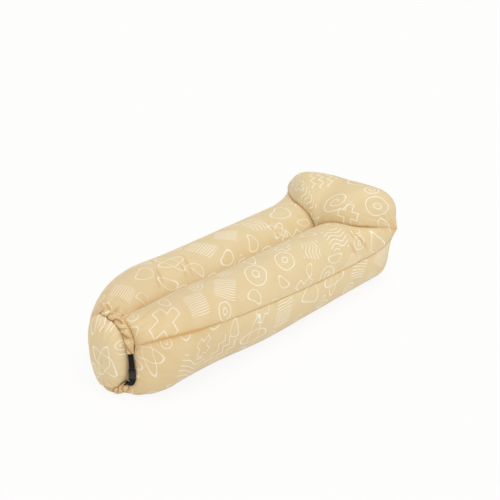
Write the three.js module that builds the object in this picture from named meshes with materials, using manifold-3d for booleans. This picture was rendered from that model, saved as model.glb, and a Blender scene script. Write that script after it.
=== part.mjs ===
// Inflatable air lounger: two lengthwise tubes on a flat base, a headrest pillow at the head end,
// and a mouth at the foot end that is rolled up, bent into a ring and clipped with a side-release buckle.
// Frame: millimetres, +X towards the head, +Z up, the left side at -Y, the floor at z = 0,
// the origin under the middle of the bounding box.

import * as THREE from 'three';
import { mergeVertices } from 'three/addons/utils/BufferGeometryUtils.js';
import Module from 'manifold-3d';

// Overall sizes
const LENGTH = 1980;
const WALL = 1.5;
const SEAM_GAP = 0.36;

// Tubes: half widths, heights and places along the length, where two sizes are foot and head values
const FLOOR_HALF_WIDTH_FOOT = 106;
const FLOOR_HALF_WIDTH = 231;
const FLOOR_HALF_WIDTH_REAR = 289;
const SEAM_HALF_WIDTH = 352;
const SEAM_HALF_WIDTH_FOOT = 276;
const SEAM_HEIGHT = 204;
const SEAM_DROP_FOOT = 54;
const SEAM_RISE_POWER = 2.2;
const CREST_HALF_SPACING = 189;
const CREST_HALF_SPACING_FOOT = 160;
const CREST_HEIGHT = 382;
const CREST_RISE_FOOT = 22;
const CREST_DROP_HEAD = 12;
const TUBE_AXIS_HEIGHT = 200;
const TUBE_AXIS_RISE_FOOT = 60;
const VALLEY_HEIGHT = 250;
const VALLEY_DROP_FOOT = 59;
const FOOT_RISE_LENGTH = 900;
const FOOT_TAPER_LENGTH = 520;
const FOOT_DRIFT = 62;

// Head end: the rear panel, the headrest crease and the ears where four panels meet
const REAR_BULGE = 14;
const REAR_OVERHANG = 15.62;
const REAR_ROUNDING = 130;
const REAR_EDGE_INSET_LEFT = 113;
const REAR_EDGE_INSET_RIGHT = 95;
const CREASE_SETBACK = 268;
const CREASE_POWER = 3;
const CREASE_CREST_DROP_LEFT = 45;
const CREASE_CREST_DROP_RIGHT = 16;
const CREASE_AXIS_HEIGHT = 225;
const CREASE_LEAN = 20;
const EAR_SETBACK = 62;
const EAR_INSET_LEFT = 7;
const EAR_INSET_RIGHT = 24;
const EAR_DROP_LEFT = 14;
const EAR_DROP_RIGHT = 14;
const EAR_TIP = 26;
const FLARE_WIDTH = 4;
const FLARE_HEIGHT = 80;
const FLARE_START_X = 450;
const TIP_SETBACK = 1.5;
const HEADREST_HEIGHT = 492;
const HEADREST_REAR_SETBACK = 24;
const HEADREST_HALF_WIDTH_LEFT = 375;
const HEADREST_HALF_WIDTH_RIGHT = 392;
const HEADREST_CORNER_POWER_LEFT = 3.05;
const HEADREST_CORNER_POWER_RIGHT = 2.2;
const HEADREST_CROWN = 110;
const HEADREST_CROWN_POWER = 3;
const HEADREST_LEAN = 44;

// Mouth ring: an upright oval, leaning so that its foot is further out than its top
const RING_SETBACK = 90;
const RING_LEAN = 40;
const RING_HALF_WIDTH_NEAR = 123;
const RING_HALF_WIDTH_FAR = 122;
const RING_HALF_WIDTH_FAR_LOW = 72;
const RING_SQUARENESS = 2.6;
const RING_FAR_LIFT = 48;
const RING_DROP = 44;
const RING_FLOOR_GAP = 2;
const ROLL_RADIUS = 20;
const ROLL_PUCKER = 1.6;
const ROLL_PUCKER_COUNT = 22;
const ROLL_END_RADIUS = 13.6;
const ROLL_TAPER_ANGLE = 14;
const LIP_CLOSING_ANGLE = 16;
const LIP_CLOSING_LEAD = 13;
const SHOULDER_TOP = 290;
const SHOULDER_SIDE_LEFT = 235;
const SHOULDER_SIDE_RIGHT = 315;
const SHOULDER_FLOOR = 72;
const SEAM_RING_ANGLE = 22;
const FLOOR_RING_ANGLE = -56;
const BODY_LIP_ANGLE = 48;
const BODY_MEETING_ANGLE = 120;
const DOME_LIP_ANGLE = 180;
const DOME_MEETING_ANGLE = 126;
const DOME_FULLNESS = 1.8;
const DOME_WRAP = 20;
const DOME_WRAP_FAR = 125;
const DOME_OVERHANG = 6;
const DOME_FAR_POWER = 1.4;

// Stiffening strips sewn into the two lips of the mouth, at the core of the roll
const STRIP_WIDTH = 22;
const STRIP_THICKNESS = 1.2;
const POCKET_CLEARANCE = 0.3;

// Inside: the centre baffle that holds the valley down, and the airtight seam tapes
const BAFFLE_THICKNESS = 1.5;
const TAPE_HALF_WIDTH = 9;
const TAPE_THICKNESS = 0.8;
const TAPE_GAP = 1.2;

// Webbing and side-release buckle, standing upright across the gap in the roll
const WEBBING_WIDTH = 25;
const WEBBING_THICKNESS = 1.6;
const WEBBING_CLEARANCE = 0.4;
const BUCKLE_WIDTH = 34;
const BUCKLE_DEPTH = 10;
const SOCKET_HEIGHT = 46;
const SOCKET_PLATE = 1.8;
const SOCKET_CORNER = 4;
const THROAT_HEIGHT = 15;
const THROAT_HALF_WIDTH = 14.2;
const WINDOW_HEIGHT = 15;
const BAR_HEIGHT = 4;
const BAR_SLOT = 5;
const BAR_DEPTH = 5;
const BUCKLE_BEVEL = 1.2;
const PLUG_INSET = 0.5;
const PRONG_LENGTH = 28;
const PRONG_NOSE = 4;
const PRONG_PIVOT_DROP = 1.5;
const PLUG_HEIGHT = 16;
const PLUG_SEAT_GAP = 0.3;
const TONGUE_HALF_WIDTH = 3;
const TONGUE_HEIGHT = 22;
const PRONG_THICKNESS = 3;
const PRONG_DEPTH = 4.6;
const PRONG_INNER_HALF_WIDTH = 7.4;
const PRONG_CATCH = 2.1;
const PRONG_CLEARANCE = 0.4;
const PRONG_ROOT_GAP = 0.3;
const ROLL_END_LIFT = 52;
const LOWER_WEBBING = 29;
const UPPER_WEBBING = 76;
const BUCKLE_TURN = 62;
const BUCKLE_OUTSET = 10;
const STRAP_HANDLE_ROLL = 16;
const STRAP_HANDLE_BUCKLE = 32;

// Sampling counts
const SHOULDER_ROWS = 5;
const STRAIGHT_ROWS = 11;
const REAR_ROWS = 4;
const TOP_COLUMNS = 9;
const SIDE_COLUMNS = 5;
const HEADREST_ROWS = 8;
const DOME_WRAP_ROWS = 3;
const DOME_CAP_ROWS = 5;
const ROLL_SIDES = 10;
const ROLL_STEPS = 30;
const CORNER_STEPS = 3;
const STRAP_STEPS = 7;
const BAR_STEPS = 6;

// Colours
const CLOTH = { color: 0xe3ce9f, roughness: 0.5, metalness: 0 };
const ROLLED_CLOTH = { color: 0xd2b17c, roughness: 0.55, metalness: 0 };
const INNER_CLOTH = { color: 0xe6dcc0, roughness: 0.7, metalness: 0 };
const TAPE_FILM = { color: 0xd8d4c8, roughness: 0.4, metalness: 0 };
const STIFFENER = { color: 0xf0efe8, roughness: 0.4, metalness: 0 };
const WEBBING = { color: 0x1d1c1a, roughness: 0.8, metalness: 0 };
const BUCKLE_PLASTIC = { color: 0x2c2b29, roughness: 0.4, metalness: 0 };

const ROWS = SHOULDER_ROWS + STRAIGHT_ROWS + REAR_ROWS;
const FLOOR_COLUMNS = 2 * TOP_COLUMNS;
const REAR_PANEL_ROWS = SIDE_COLUMNS;
const LEFT = -1;
const RIGHT = 1;
const SIDE_NAMES = { [LEFT]: 'left', [RIGHT]: 'right' };
const QUARTER_TURN = Math.PI / 2;
const FULL_TURN = 360;

// Places along the length
const FOOT_END_X = -LENGTH / 2;
const REAR_X = LENGTH / 2 - REAR_OVERHANG;
const FOOT_CREST_HEIGHT = CREST_HEIGHT + CREST_RISE_FOOT;
const RING_TOP_X = FOOT_END_X + RING_SETBACK;
const RING_TOP = FOOT_CREST_HEIGHT - RING_DROP;
const RING_BOTTOM = ROLL_RADIUS + ROLL_PUCKER + RING_FLOOR_GAP;
const RING_BOTTOM_X = RING_TOP_X - RING_LEAN;
const RING_HALF_HEIGHT = (RING_TOP - RING_BOTTOM) / 2;
const RING_CENTRE_HEIGHT = (RING_TOP + RING_BOTTOM) / 2;
const RING_HEADING_STEP = 1;
const EAR_X = REAR_X - EAR_SETBACK;
const CREASE_CREST_HEIGHTS = {
  [LEFT]: CREST_HEIGHT - CREASE_CREST_DROP_LEFT,
  [RIGHT]: CREST_HEIGHT - CREASE_CREST_DROP_RIGHT,
};
const EAR_HEIGHTS = {
  [LEFT]: CREASE_CREST_HEIGHTS[LEFT] - EAR_DROP_LEFT,
  [RIGHT]: CREASE_CREST_HEIGHTS[RIGHT] - EAR_DROP_RIGHT,
};
const EAR_HALF_WIDTHS = {
  [LEFT]: HEADREST_HALF_WIDTH_LEFT - EAR_INSET_LEFT,
  [RIGHT]: HEADREST_HALF_WIDTH_RIGHT - EAR_INSET_RIGHT,
};
const REAR_EDGE_HALF_WIDTHS = {
  [LEFT]: HEADREST_HALF_WIDTH_LEFT - REAR_EDGE_INSET_LEFT,
  [RIGHT]: HEADREST_HALF_WIDTH_RIGHT - REAR_EDGE_INSET_RIGHT,
};
const HEADREST_HALF_WIDTHS = { [LEFT]: HEADREST_HALF_WIDTH_LEFT, [RIGHT]: HEADREST_HALF_WIDTH_RIGHT };
const HEADREST_CORNER_POWERS = { [LEFT]: HEADREST_CORNER_POWER_LEFT, [RIGHT]: HEADREST_CORNER_POWER_RIGHT };
const SIDE_SHOULDERS = { [LEFT]: SHOULDER_SIDE_LEFT, [RIGHT]: SHOULDER_SIDE_RIGHT };
const HEADREST_REAR_X = REAR_X - HEADREST_REAR_SETBACK;
const FOOT_RISE_START_X = REAR_X - REAR_ROUNDING;

const group = new THREE.Group();
const vec = (x, y, z) => new THREE.Vector3(x, y, z);
const mix = (a, b, t) => a + (b - a) * t;
const mixPoints = (a, b, t) => a.clone().lerp(b, t);
const radians = (degrees) => THREE.MathUtils.degToRad(degrees);
const evenly = (count) => Array.from({ length: count + 1 }, (_, i) => i / count);
const signedPower = (value, power) => Math.sign(value) * Math.abs(value) ** power;

function addPiece(name, geometry, finish) {
  const piece = new THREE.Mesh(geometry, new THREE.MeshStandardMaterial(finish));
  piece.name = name;
  group.add(piece);
}

// Closed bodies from point lists

function bodyFrom(points, triangles) {
  const soup = new THREE.BufferGeometry();
  soup.setAttribute('position', new THREE.Float32BufferAttribute(points.flatMap((p) => p.toArray()), 3));
  soup.setIndex(triangles.flat());
  const merged = mergeVertices(soup, SEAM_GAP / 100);
  const index = merged.getIndex().array;
  const kept = [];
  for (let i = 0; i < index.length; i += 3) {
    const [a, b, c] = [index[i], index[i + 1], index[i + 2]];
    if (a !== b && b !== c && c !== a) kept.push(a, b, c);
  }
  merged.setIndex(kept);
  merged.computeVertexNormals();
  return merged;
}

// The two triangles of each cell of a grid of points, wound so that they face the row-cross-column side
function gridTriangles(rows, columns, first, flip) {
  const triangles = [];
  for (let r = 0; r + 1 < rows; r += 1) {
    for (let c = 0; c + 1 < columns; c += 1) {
      const a = first + r * columns + c;
      const b = a + 1;
      const d = a + columns;
      const e = d + 1;
      triangles.push(flip ? [a, b, d] : [a, d, b], flip ? [b, e, d] : [b, d, e]);
    }
  }
  return triangles;
}

// The edges of a grid in order; a grid that closes on itself has only its first and last row
function borderEdges(rows, columns, closed) {
  const at = (r, c) => r * columns + c;
  const edges = [];
  for (let c = 0; c + 1 < columns; c += 1) {
    edges.push([at(0, c), at(0, c + 1)]);
    edges.push([at(rows - 1, c + 1), at(rows - 1, c)]);
  }
  for (let r = 0; r + 1 < rows && !closed; r += 1) {
    edges.push([at(r, columns - 1), at(r + 1, columns - 1)]);
    edges.push([at(r + 1, 0), at(r, 0)]);
  }
  return edges;
}

// Orders the two ends of an edge the same way for both of the panels that share it
function comesFirst(a, b) {
  if (Math.abs(a.z - b.z) > SEAM_GAP) return a.z < b.z;
  if (Math.abs(a.x - b.x) > SEAM_GAP) return a.x < b.x;
  return Math.abs(a.y) < Math.abs(b.y);
}

// A cloth body between an outer and an inner grid, closed round its border
function clothBody(outer, inner, flip, closed) {
  const rows = outer.length;
  const columns = outer[0].length;
  const behind = rows * columns;
  const triangles = [
    ...gridTriangles(rows, columns, 0, flip),
    ...gridTriangles(rows, columns, behind, !flip),
  ];
  const points = [...outer.flat(), ...inner.flat()];
  borderEdges(rows, columns, closed).forEach(([a, b]) => {
    const faces = comesFirst(points[a], points[b])
      ? [[a, b, a + behind], [b, b + behind, a + behind]]
      : [[a, b, b + behind], [a, b + behind, a + behind]];
    triangles.push(...faces.map((face) => (flip ? face.reverse() : face)));
  });
  return bodyFrom(points, triangles);
}

// A body swept along frames, each with a centre and two directions; the outline and the hole are
// lists of points per frame, and both ends are capped
function sweptBody(frames, outlineAt, holeAt) {
  const place = (frame, list) => list.map((p) => frame.centre.clone()
    .addScaledVector(frame.across, p.x).addScaledVector(frame.up, p.y));
  const outline = frames.map((frame, i) => place(frame, outlineAt(i)));
  const hole = holeAt ? frames.map((frame, i) => place(frame, holeAt(i))) : [];
  const sides = outline[0].length;
  const holeSides = hole.length ? hole[0].length : 0;
  const points = [...outline.flat(), ...hole.flat()];
  const holeFirst = frames.length * sides;
  const triangles = [];
  const wrap = (first, count, inward) => {
    for (let i = 0; i + 1 < frames.length; i += 1) {
      for (let k = 0; k < count; k += 1) {
        const a = first + i * count + k;
        const b = first + i * count + ((k + 1) % count);
        const [d, e] = [a + count, b + count];
        triangles.push(inward ? [a, d, b] : [a, b, d], inward ? [b, d, e] : [b, e, d]);
      }
    }
  };
  wrap(0, sides, false);
  if (holeSides) wrap(holeFirst, holeSides, true);
  const capFaces = THREE.ShapeUtils.triangulateShape(outlineAt(0), holeAt ? [holeAt(0)] : []);
  const capIndex = (step, k) => (k < sides
    ? step * sides + k
    : holeFirst + step * holeSides + (k - sides));
  capFaces.forEach(([a, b, c]) => {
    triangles.push([capIndex(0, a), capIndex(0, c), capIndex(0, b)]);
    const last = frames.length - 1;
    triangles.push([capIndex(last, a), capIndex(last, b), capIndex(last, c)]);
  });
  return bodyFrom(points, triangles);
}

// The mouth ring, a squared oval that is higher and narrower on its far side: angle 0 is the left side,
// 90 degrees the top

const farRingHalfWidth = (sine) => mix(
  RING_HALF_WIDTH_FAR_LOW,
  RING_HALF_WIDTH_FAR,
  THREE.MathUtils.smoothstep(sine, -1, 1),
);

function ringPoint(degrees) {
  const sine = Math.sin(radians(degrees));
  const cosine = Math.cos(radians(degrees));
  const rise = signedPower(sine, 2 / RING_SQUARENESS);
  const reach = signedPower(cosine, 2 / RING_SQUARENESS);
  const halfWidth = cosine > 0 ? RING_HALF_WIDTH_NEAR : farRingHalfWidth(sine);
  const lift = RING_FAR_LIFT * Math.max(sine, 0) * (1 - cosine) / 2;
  return vec(
    mix(RING_BOTTOM_X, RING_TOP_X, (1 + rise) / 2),
    -FOOT_DRIFT - halfWidth * reach,
    RING_CENTRE_HEIGHT + RING_HALF_HEIGHT * rise + lift,
  );
}

// Directions of the ring's own plane: away from the ring's centre, and back into the body
function ringFrame(degrees) {
  const back = vec(RING_TOP - RING_BOTTOM, 0, -RING_LEAN).normalize();
  const heading = ringPoint(degrees + RING_HEADING_STEP).sub(ringPoint(degrees - RING_HEADING_STEP));
  return { centre: ringPoint(degrees), across: back.clone().cross(heading).normalize(), up: back };
}

// Heights up the buckle's gap, from the roll's lower end to its upper end
const LOWER_END_HEIGHT = RING_BOTTOM + ROLL_END_LIFT;
const SOCKET_BOTTOM = LOWER_END_HEIGHT + LOWER_WEBBING;
const SOCKET_TOP = SOCKET_BOTTOM + SOCKET_HEIGHT;
const PLUG_BOTTOM = SOCKET_TOP + PLUG_SEAT_GAP;
const PLUG_TOP = PLUG_BOTTOM + PLUG_HEIGHT;
const UPPER_END_HEIGHT = PLUG_TOP + UPPER_WEBBING;

function ringAngleAt(height) {
  const rise = (height - RING_CENTRE_HEIGHT) / RING_HALF_HEIGHT;
  return THREE.MathUtils.radToDeg(Math.asin(signedPower(rise, RING_SQUARENESS / 2)));
}

const ROLL_START = ringAngleAt(UPPER_END_HEIGHT);
const ROLL_END = FULL_TURN + ringAngleAt(LOWER_END_HEIGHT);

// How far round the roll an angle lies from the nearer end of the roll, negative across the buckle's gap
function angleFromRollEnd(degrees) {
  const fromGap = degrees - ROLL_START + LIP_CLOSING_ANGLE;
  const turned = THREE.MathUtils.euclideanModulo(fromGap, FULL_TURN) - LIP_CLOSING_ANGLE;
  return Math.min(turned, ROLL_END - ROLL_START - turned);
}

function rollRadiusAt(degrees) {
  const share = THREE.MathUtils.clamp(angleFromRollEnd(degrees) / ROLL_TAPER_ANGLE, 0, 1);
  const pucker = ROLL_PUCKER * Math.sin(ROLL_PUCKER_COUNT * radians(degrees)) * share;
  return mix(ROLL_END_RADIUS, ROLL_RADIUS, share) + pucker;
}

// A point beside the roll: turn 0 is away from the ring's centre and 90 degrees is back into the body
function besideRoll(degrees, turn, reach) {
  const frame = ringFrame(degrees);
  return frame.centre
    .addScaledVector(frame.across, reach * Math.cos(radians(turn)))
    .addScaledVector(frame.up, reach * Math.sin(radians(turn)));
}

// The two lips of the bag: the body's runs in behind the roll and the dome's lies inside the ring, and
// across the buckle's gap they close on each other behind the webbing
const LIP_REACH = ROLL_RADIUS + ROLL_PUCKER + SEAM_GAP;
const gapShare = (degrees) => THREE.MathUtils.clamp(
  (LIP_CLOSING_LEAD - angleFromRollEnd(degrees)) / LIP_CLOSING_ANGLE,
  0,
  1,
);
const domeLipTurn = (degrees) => mix(DOME_LIP_ANGLE, DOME_MEETING_ANGLE, gapShare(degrees));

function bodyLipPoint(degrees) {
  return besideRoll(degrees, mix(BODY_LIP_ANGLE, BODY_MEETING_ANGLE, gapShare(degrees)), LIP_REACH);
}

// Stations along the length: a foot shoulder, a straight run and a rear rounding

function stationOf(row) {
  const straightEnd = SHOULDER_ROWS + STRAIGHT_ROWS;
  if (row <= SHOULDER_ROWS) {
    const turn = (row / SHOULDER_ROWS) * QUARTER_TURN;
    return { foot: 1 - Math.cos(turn), footHold: 1 - Math.sin(turn), run: 0, rear: 0, rearHold: 0 };
  }
  if (row <= straightEnd) {
    return { foot: 1, footHold: 0, run: (row - SHOULDER_ROWS) / STRAIGHT_ROWS, rear: 0, rearHold: 0 };
  }
  const turn = ((row - straightEnd) / REAR_ROWS) * QUARTER_TURN;
  return { foot: 1, footHold: 0, run: 1, rear: Math.sin(turn), rearHold: 1 - Math.cos(turn) };
}

function stationX(station, ringX, shoulder, endX) {
  const shoulderX = ringX + shoulder;
  const roundingX = endX - REAR_ROUNDING;
  const straight = mix(shoulderX, roundingX, station.run);
  return straight - shoulder * (1 - station.foot) + REAR_ROUNDING * station.rear;
}

// Heights and half widths that drift along the length

const { clamp, smoothstep } = THREE.MathUtils;
const footShare = (x) => clamp((FOOT_RISE_START_X - x) / (FOOT_RISE_START_X - RING_TOP_X), 0, 1);
const footRiseShare = (x) => smoothstep(RING_TOP_X + FOOT_RISE_LENGTH - x, 0, FOOT_RISE_LENGTH);
const footTaperShare = (x) => smoothstep(RING_TOP_X + FOOT_TAPER_LENGTH - x, 0, FOOT_TAPER_LENGTH);
const headShare = (x) => smoothstep(x, 0, EAR_X);
const flareShare = (x, side) => (side === LEFT ? 0 : smoothstep(x, FLARE_START_X, EAR_X));

const seamHeightAt = (x, side) => (
  mix(SEAM_HEIGHT, FOOT_CREST_HEIGHT - SEAM_DROP_FOOT, footShare(x) ** SEAM_RISE_POWER)
  + FLARE_HEIGHT * flareShare(x, side)
);
const centreAt = (x) => -FOOT_DRIFT * footTaperShare(x);
const seamHalfWidthAt = (x, side) => (
  mix(SEAM_HALF_WIDTH, SEAM_HALF_WIDTH_FOOT, footTaperShare(x)) + FLARE_WIDTH * flareShare(x, side)
);
const crestSpacingAt = (x) => mix(CREST_HALF_SPACING, CREST_HALF_SPACING_FOOT, footTaperShare(x));
const floorHalfWidthAt = (x) => mix(FLOOR_HALF_WIDTH, FLOOR_HALF_WIDTH_FOOT, footRiseShare(x));
const crestHeightAt = (x) => (
  CREST_HEIGHT + CREST_RISE_FOOT * footRiseShare(x) - CREST_DROP_HEAD * headShare(x)
);
const axisHeightAt = (x) => TUBE_AXIS_HEIGHT + TUBE_AXIS_RISE_FOOT * footRiseShare(x);
const valleyHeightAt = (x) => mix(VALLEY_HEIGHT, FOOT_CREST_HEIGHT - VALLEY_DROP_FOOT, footRiseShare(x));

const creaseX = (y) => {
  const earHalfWidth = EAR_HALF_WIDTHS[y < 0 ? LEFT : RIGHT];
  const share = Math.min(1, Math.abs(y) / earHalfWidth);
  const front = REAR_X - CREASE_SETBACK;
  return mix(front, EAR_X, share ** CREASE_POWER) + CREASE_LEAN * (y / earHalfWidth) * (1 - share);
};

function earTip(side) {
  return vec(EAR_X, side * (EAR_HALF_WIDTHS[side] + EAR_TIP), EAR_HEIGHTS[side]);
}

// Side seam and floor edge of one side, before the foot gathers in and the rear rounds off

function seamPoint(row, side) {
  const station = stationOf(row);
  const lip = bodyLipPoint(side === LEFT ? SEAM_RING_ANGLE : 180 - SEAM_RING_ANGLE);
  const x = stationX(station, lip.x, SIDE_SHOULDERS[side], EAR_X);
  const free = vec(x, centreAt(x) + side * seamHalfWidthAt(x, side), seamHeightAt(x, side));
  const held = mixPoints(free, lip.setX(x), station.footHold);
  return mixPoints(held, earTip(side).setX(x), station.rearHold);
}

function floorEdgePoint(row, side) {
  const station = stationOf(row);
  const lip = bodyLipPoint(side === LEFT ? FLOOR_RING_ANGLE : 180 - FLOOR_RING_ANGLE);
  const x = stationX(station, lip.x, SHOULDER_FLOOR, REAR_X);
  const free = vec(x, centreAt(x) + side * floorHalfWidthAt(x), 0);
  const held = mixPoints(free, lip.setX(x), station.footHold);
  return mixPoints(held, vec(x, side * FLOOR_HALF_WIDTH_REAR, 0), station.rearHold);
}

// The side panel's section: an arc that leaves the floor flat and ends on the side seam
function sideArcPoint(edge, seam, share, outward) {
  const run = Math.abs(seam.y - edge.y);
  const rise = seam.z - edge.z;
  const radius = (run * run + rise * rise) / (2 * rise);
  const sweep = Math.atan2(run, radius - rise);
  const turn = sweep * share;
  return vec(
    mix(edge.x, seam.x, share),
    edge.y + outward * radius * Math.sin(turn),
    edge.z + radius * (1 - Math.cos(turn)),
  );
}

function rearEdgePoint(side, share) {
  const halfWidth = REAR_EDGE_HALF_WIDTHS[side];
  const curve = new THREE.CubicBezierCurve3(
    vec(REAR_X, side * FLOOR_HALF_WIDTH_REAR, 0),
    vec(REAR_X, side * (2 * halfWidth - FLOOR_HALF_WIDTH_REAR), 0),
    vec(mix(REAR_X, EAR_X, 1 / 2), side * halfWidth, EAR_HEIGHTS[side] * 4 / 5),
    earTip(side),
  );
  return curve.getPoint(share);
}

function sidePanelPoint(row, column, side) {
  const share = column / SIDE_COLUMNS;
  const station = stationOf(row);
  const edge = floorEdgePoint(row, side);
  const seam = seamPoint(row, side);
  if (column === 0) return edge;
  if (column === SIDE_COLUMNS) return seam;
  const angle = mix(FLOOR_RING_ANGLE, SEAM_RING_ANGLE, share);
  const lip = bodyLipPoint(side === LEFT ? angle : 180 - angle);
  const shoulder = mix(SHOULDER_FLOOR, SIDE_SHOULDERS[side], Math.sin(share * QUARTER_TURN));
  const rearEdge = rearEdgePoint(side, share);
  const x = stationX(station, lip.x, shoulder, rearEdge.x);
  const freeEdge = vec(x, centreAt(x) + side * floorHalfWidthAt(x), 0);
  const freeSeam = vec(x, centreAt(x) + side * seamHalfWidthAt(x, side), seamHeightAt(x, side));
  const free = sideArcPoint(freeEdge, freeSeam, share, side);
  const held = mixPoints(free, lip.setX(x), station.footHold);
  return mixPoints(held, rearEdge.setX(x), station.rearHold);
}

// The tube's section: from the side seam over the crest and down to the valley
function tubeSection(share, seam, spacing, axisHeight, crestHeight, valleyHeight) {
  const rise = crestHeight - axisHeight;
  const first = Math.asin((seam.height - axisHeight) / rise);
  const last = Math.PI - Math.asin((valleyHeight - axisHeight) / rise);
  const turn = mix(first, last, share);
  const outerReach = (seam.halfWidth - spacing) / Math.cos(first);
  const innerReach = -spacing / Math.cos(last);
  const reach = turn < QUARTER_TURN ? outerReach : innerReach;
  return { y: spacing + reach * Math.cos(turn), z: axisHeight + rise * Math.sin(turn) };
}

function creaseSection(share, side) {
  const seam = { height: EAR_HEIGHTS[side], halfWidth: EAR_HALF_WIDTHS[side] };
  const crestHeight = CREASE_CREST_HEIGHTS[side];
  return tubeSection(share, seam, CREST_HALF_SPACING, CREASE_AXIS_HEIGHT, crestHeight, VALLEY_HEIGHT);
}

function topPanelPoint(row, column, side) {
  const share = column / TOP_COLUMNS;
  const station = stationOf(row);
  if (column === 0) return seamPoint(row, side);
  const angle = mix(SEAM_RING_ANGLE, 90, share);
  const lip = bodyLipPoint(side === LEFT ? angle : 180 - angle);
  const shoulder = mix(SIDE_SHOULDERS[side], SHOULDER_TOP, Math.sin(share * QUARTER_TURN));
  const x = stationX(station, lip.x, shoulder, creaseX(side * creaseSection(share, side).y));
  const seam = {
    height: mix(seamHeightAt(x, side), EAR_HEIGHTS[side], station.rearHold),
    halfWidth: mix(seamHalfWidthAt(x, side), EAR_HALF_WIDTHS[side], station.rearHold),
  };
  const axisHeight = mix(axisHeightAt(x), CREASE_AXIS_HEIGHT, station.rearHold);
  const crestHeight = mix(crestHeightAt(x), CREASE_CREST_HEIGHTS[side], station.rearHold);
  const free = tubeSection(share, seam, crestSpacingAt(x), axisHeight, crestHeight, valleyHeightAt(x));
  const out = column === TOP_COLUMNS ? 0 : free.y;
  return mixPoints(vec(x, centreAt(x) + side * out, free.z), lip.setX(x), station.footHold);
}

function basePanelPoint(row, column) {
  const across = (2 * column) / FLOOR_COLUMNS - 1;
  const side = across < 0 ? LEFT : RIGHT;
  if (column === 0 || column === FLOOR_COLUMNS) return floorEdgePoint(row, side);
  const station = stationOf(row);
  const angle = mix(-90, FLOOR_RING_ANGLE, Math.abs(across));
  const lip = bodyLipPoint(side === LEFT ? angle : 180 - angle);
  const x = stationX(station, lip.x, SHOULDER_FLOOR, REAR_X);
  const halfWidth = mix(floorHalfWidthAt(x), FLOOR_HALF_WIDTH_REAR, station.rearHold);
  return mixPoints(vec(x, centreAt(x) + across * halfWidth, 0), lip.setX(x), station.footHold);
}

// Headrest: from the crease over the pillow to its rear seam

function headrestSeamPoint(column) {
  const across = (2 * column) / FLOOR_COLUMNS - 1;
  const side = across < 0 ? LEFT : RIGHT;
  if (column === 0 || column === FLOOR_COLUMNS) return earTip(side);
  const turn = across * QUARTER_TURN;
  const power = 2 / HEADREST_CORNER_POWERS[side];
  const width = signedPower(Math.sin(turn), power) * HEADREST_HALF_WIDTHS[side];
  const height = Math.cos(turn) ** power * (HEADREST_HEIGHT - EAR_HEIGHTS[side]);
  const lean = -HEADREST_LEAN * across * (1 - across ** 4);
  return vec(mix(HEADREST_REAR_X, EAR_X, across ** 4), width, EAR_HEIGHTS[side] + height + lean);
}

function creasePoint(column) {
  const side = column <= TOP_COLUMNS ? LEFT : RIGHT;
  const fromEar = side === LEFT ? column : FLOOR_COLUMNS - column;
  return topPanelPoint(ROWS, fromEar, side);
}

function headrestPoint(row, column) {
  const share = row / HEADREST_ROWS;
  const front = creasePoint(column);
  const rear = headrestSeamPoint(column);
  if (column === 0 || column === FLOOR_COLUMNS) return front;
  const across = (2 * column) / FLOOR_COLUMNS - 1;
  const chord = rear.clone().sub(front);
  const crownUp = vec(-chord.z, 0, chord.x).normalize();
  const crown = HEADREST_CROWN * (1 - Math.abs(across) ** HEADREST_CROWN_POWER);
  const blend = (1 - Math.cos(share * Math.PI)) / 2;
  return mixPoints(front, rear, blend).addScaledVector(crownUp, crown * Math.sin(share * Math.PI));
}

// Rear panel: a blend of its four edges, bulged outwards
function rearPanelPoint(row, column) {
  const v = row / REAR_PANEL_ROWS;
  const u = column / FLOOR_COLUMNS;
  const bottom = (c) => basePanelPoint(ROWS, c);
  const left = rearEdgePoint(LEFT, v);
  const right = rearEdgePoint(RIGHT, v);
  if (row === 0) return bottom(column);
  if (row === REAR_PANEL_ROWS) return headrestSeamPoint(column);
  const ruledUp = mixPoints(bottom(column), headrestSeamPoint(column), v);
  const ruledAcross = mixPoints(left, right, u);
  const lowerCorners = mixPoints(bottom(0), bottom(FLOOR_COLUMNS), u);
  const upperCorners = mixPoints(headrestSeamPoint(0), headrestSeamPoint(FLOOR_COLUMNS), u);
  const corners = mixPoints(lowerCorners, upperCorners, v);
  const bulge = REAR_BULGE * Math.sin(v * Math.PI) * Math.sin(u * Math.PI);
  return ruledUp.add(ruledAcross).sub(corners).add(vec(bulge, 0, 0));
}

// Dome: the part of the bag that swells out through the mouth ring. It wraps round the front of the roll,
// furthest on the side away from the buckle, and closes in a cap

const ringAngles = [
  ...evenly(TOP_COLUMNS).map((t) => mix(90, SEAM_RING_ANGLE, t)).slice(0, -1),
  ...evenly(SIDE_COLUMNS).map((t) => mix(SEAM_RING_ANGLE, FLOOR_RING_ANGLE, t)).slice(0, -1),
  ...evenly(FLOOR_COLUMNS).map((t) => mix(FLOOR_RING_ANGLE, -180 - FLOOR_RING_ANGLE, t)).slice(0, -1),
  ...evenly(SIDE_COLUMNS).map((t) => mix(-180 - FLOOR_RING_ANGLE, -180 - SEAM_RING_ANGLE, t)).slice(0, -1),
  ...evenly(TOP_COLUMNS).map((t) => mix(-180 - SEAM_RING_ANGLE, -270, t)),
];

function domePoint(row, column) {
  const degrees = ringAngles[column];
  const farShare = ((1 - Math.cos(radians(degrees))) / 2) ** DOME_FAR_POWER;
  const wrap = Math.min(1, row / DOME_WRAP_ROWS);
  const turn = domeLipTurn(degrees) + wrap * (DOME_WRAP + DOME_WRAP_FAR * farShare);
  const edge = besideRoll(degrees, turn, LIP_REACH + DOME_OVERHANG * farShare * wrap ** 2);
  const rise = Math.max(0, (row - DOME_WRAP_ROWS) / DOME_CAP_ROWS) * QUARTER_TURN;
  const centre = vec(0, -FOOT_DRIFT, RING_CENTRE_HEIGHT);
  const spread = Math.cos(rise) ** (1 / DOME_FULLNESS);
  const x = mix(edge.x, FOOT_END_X, Math.sin(rise));
  return vec(x, mix(centre.y, edge.y, spread), mix(centre.z, edge.z, spread));
}

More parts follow.
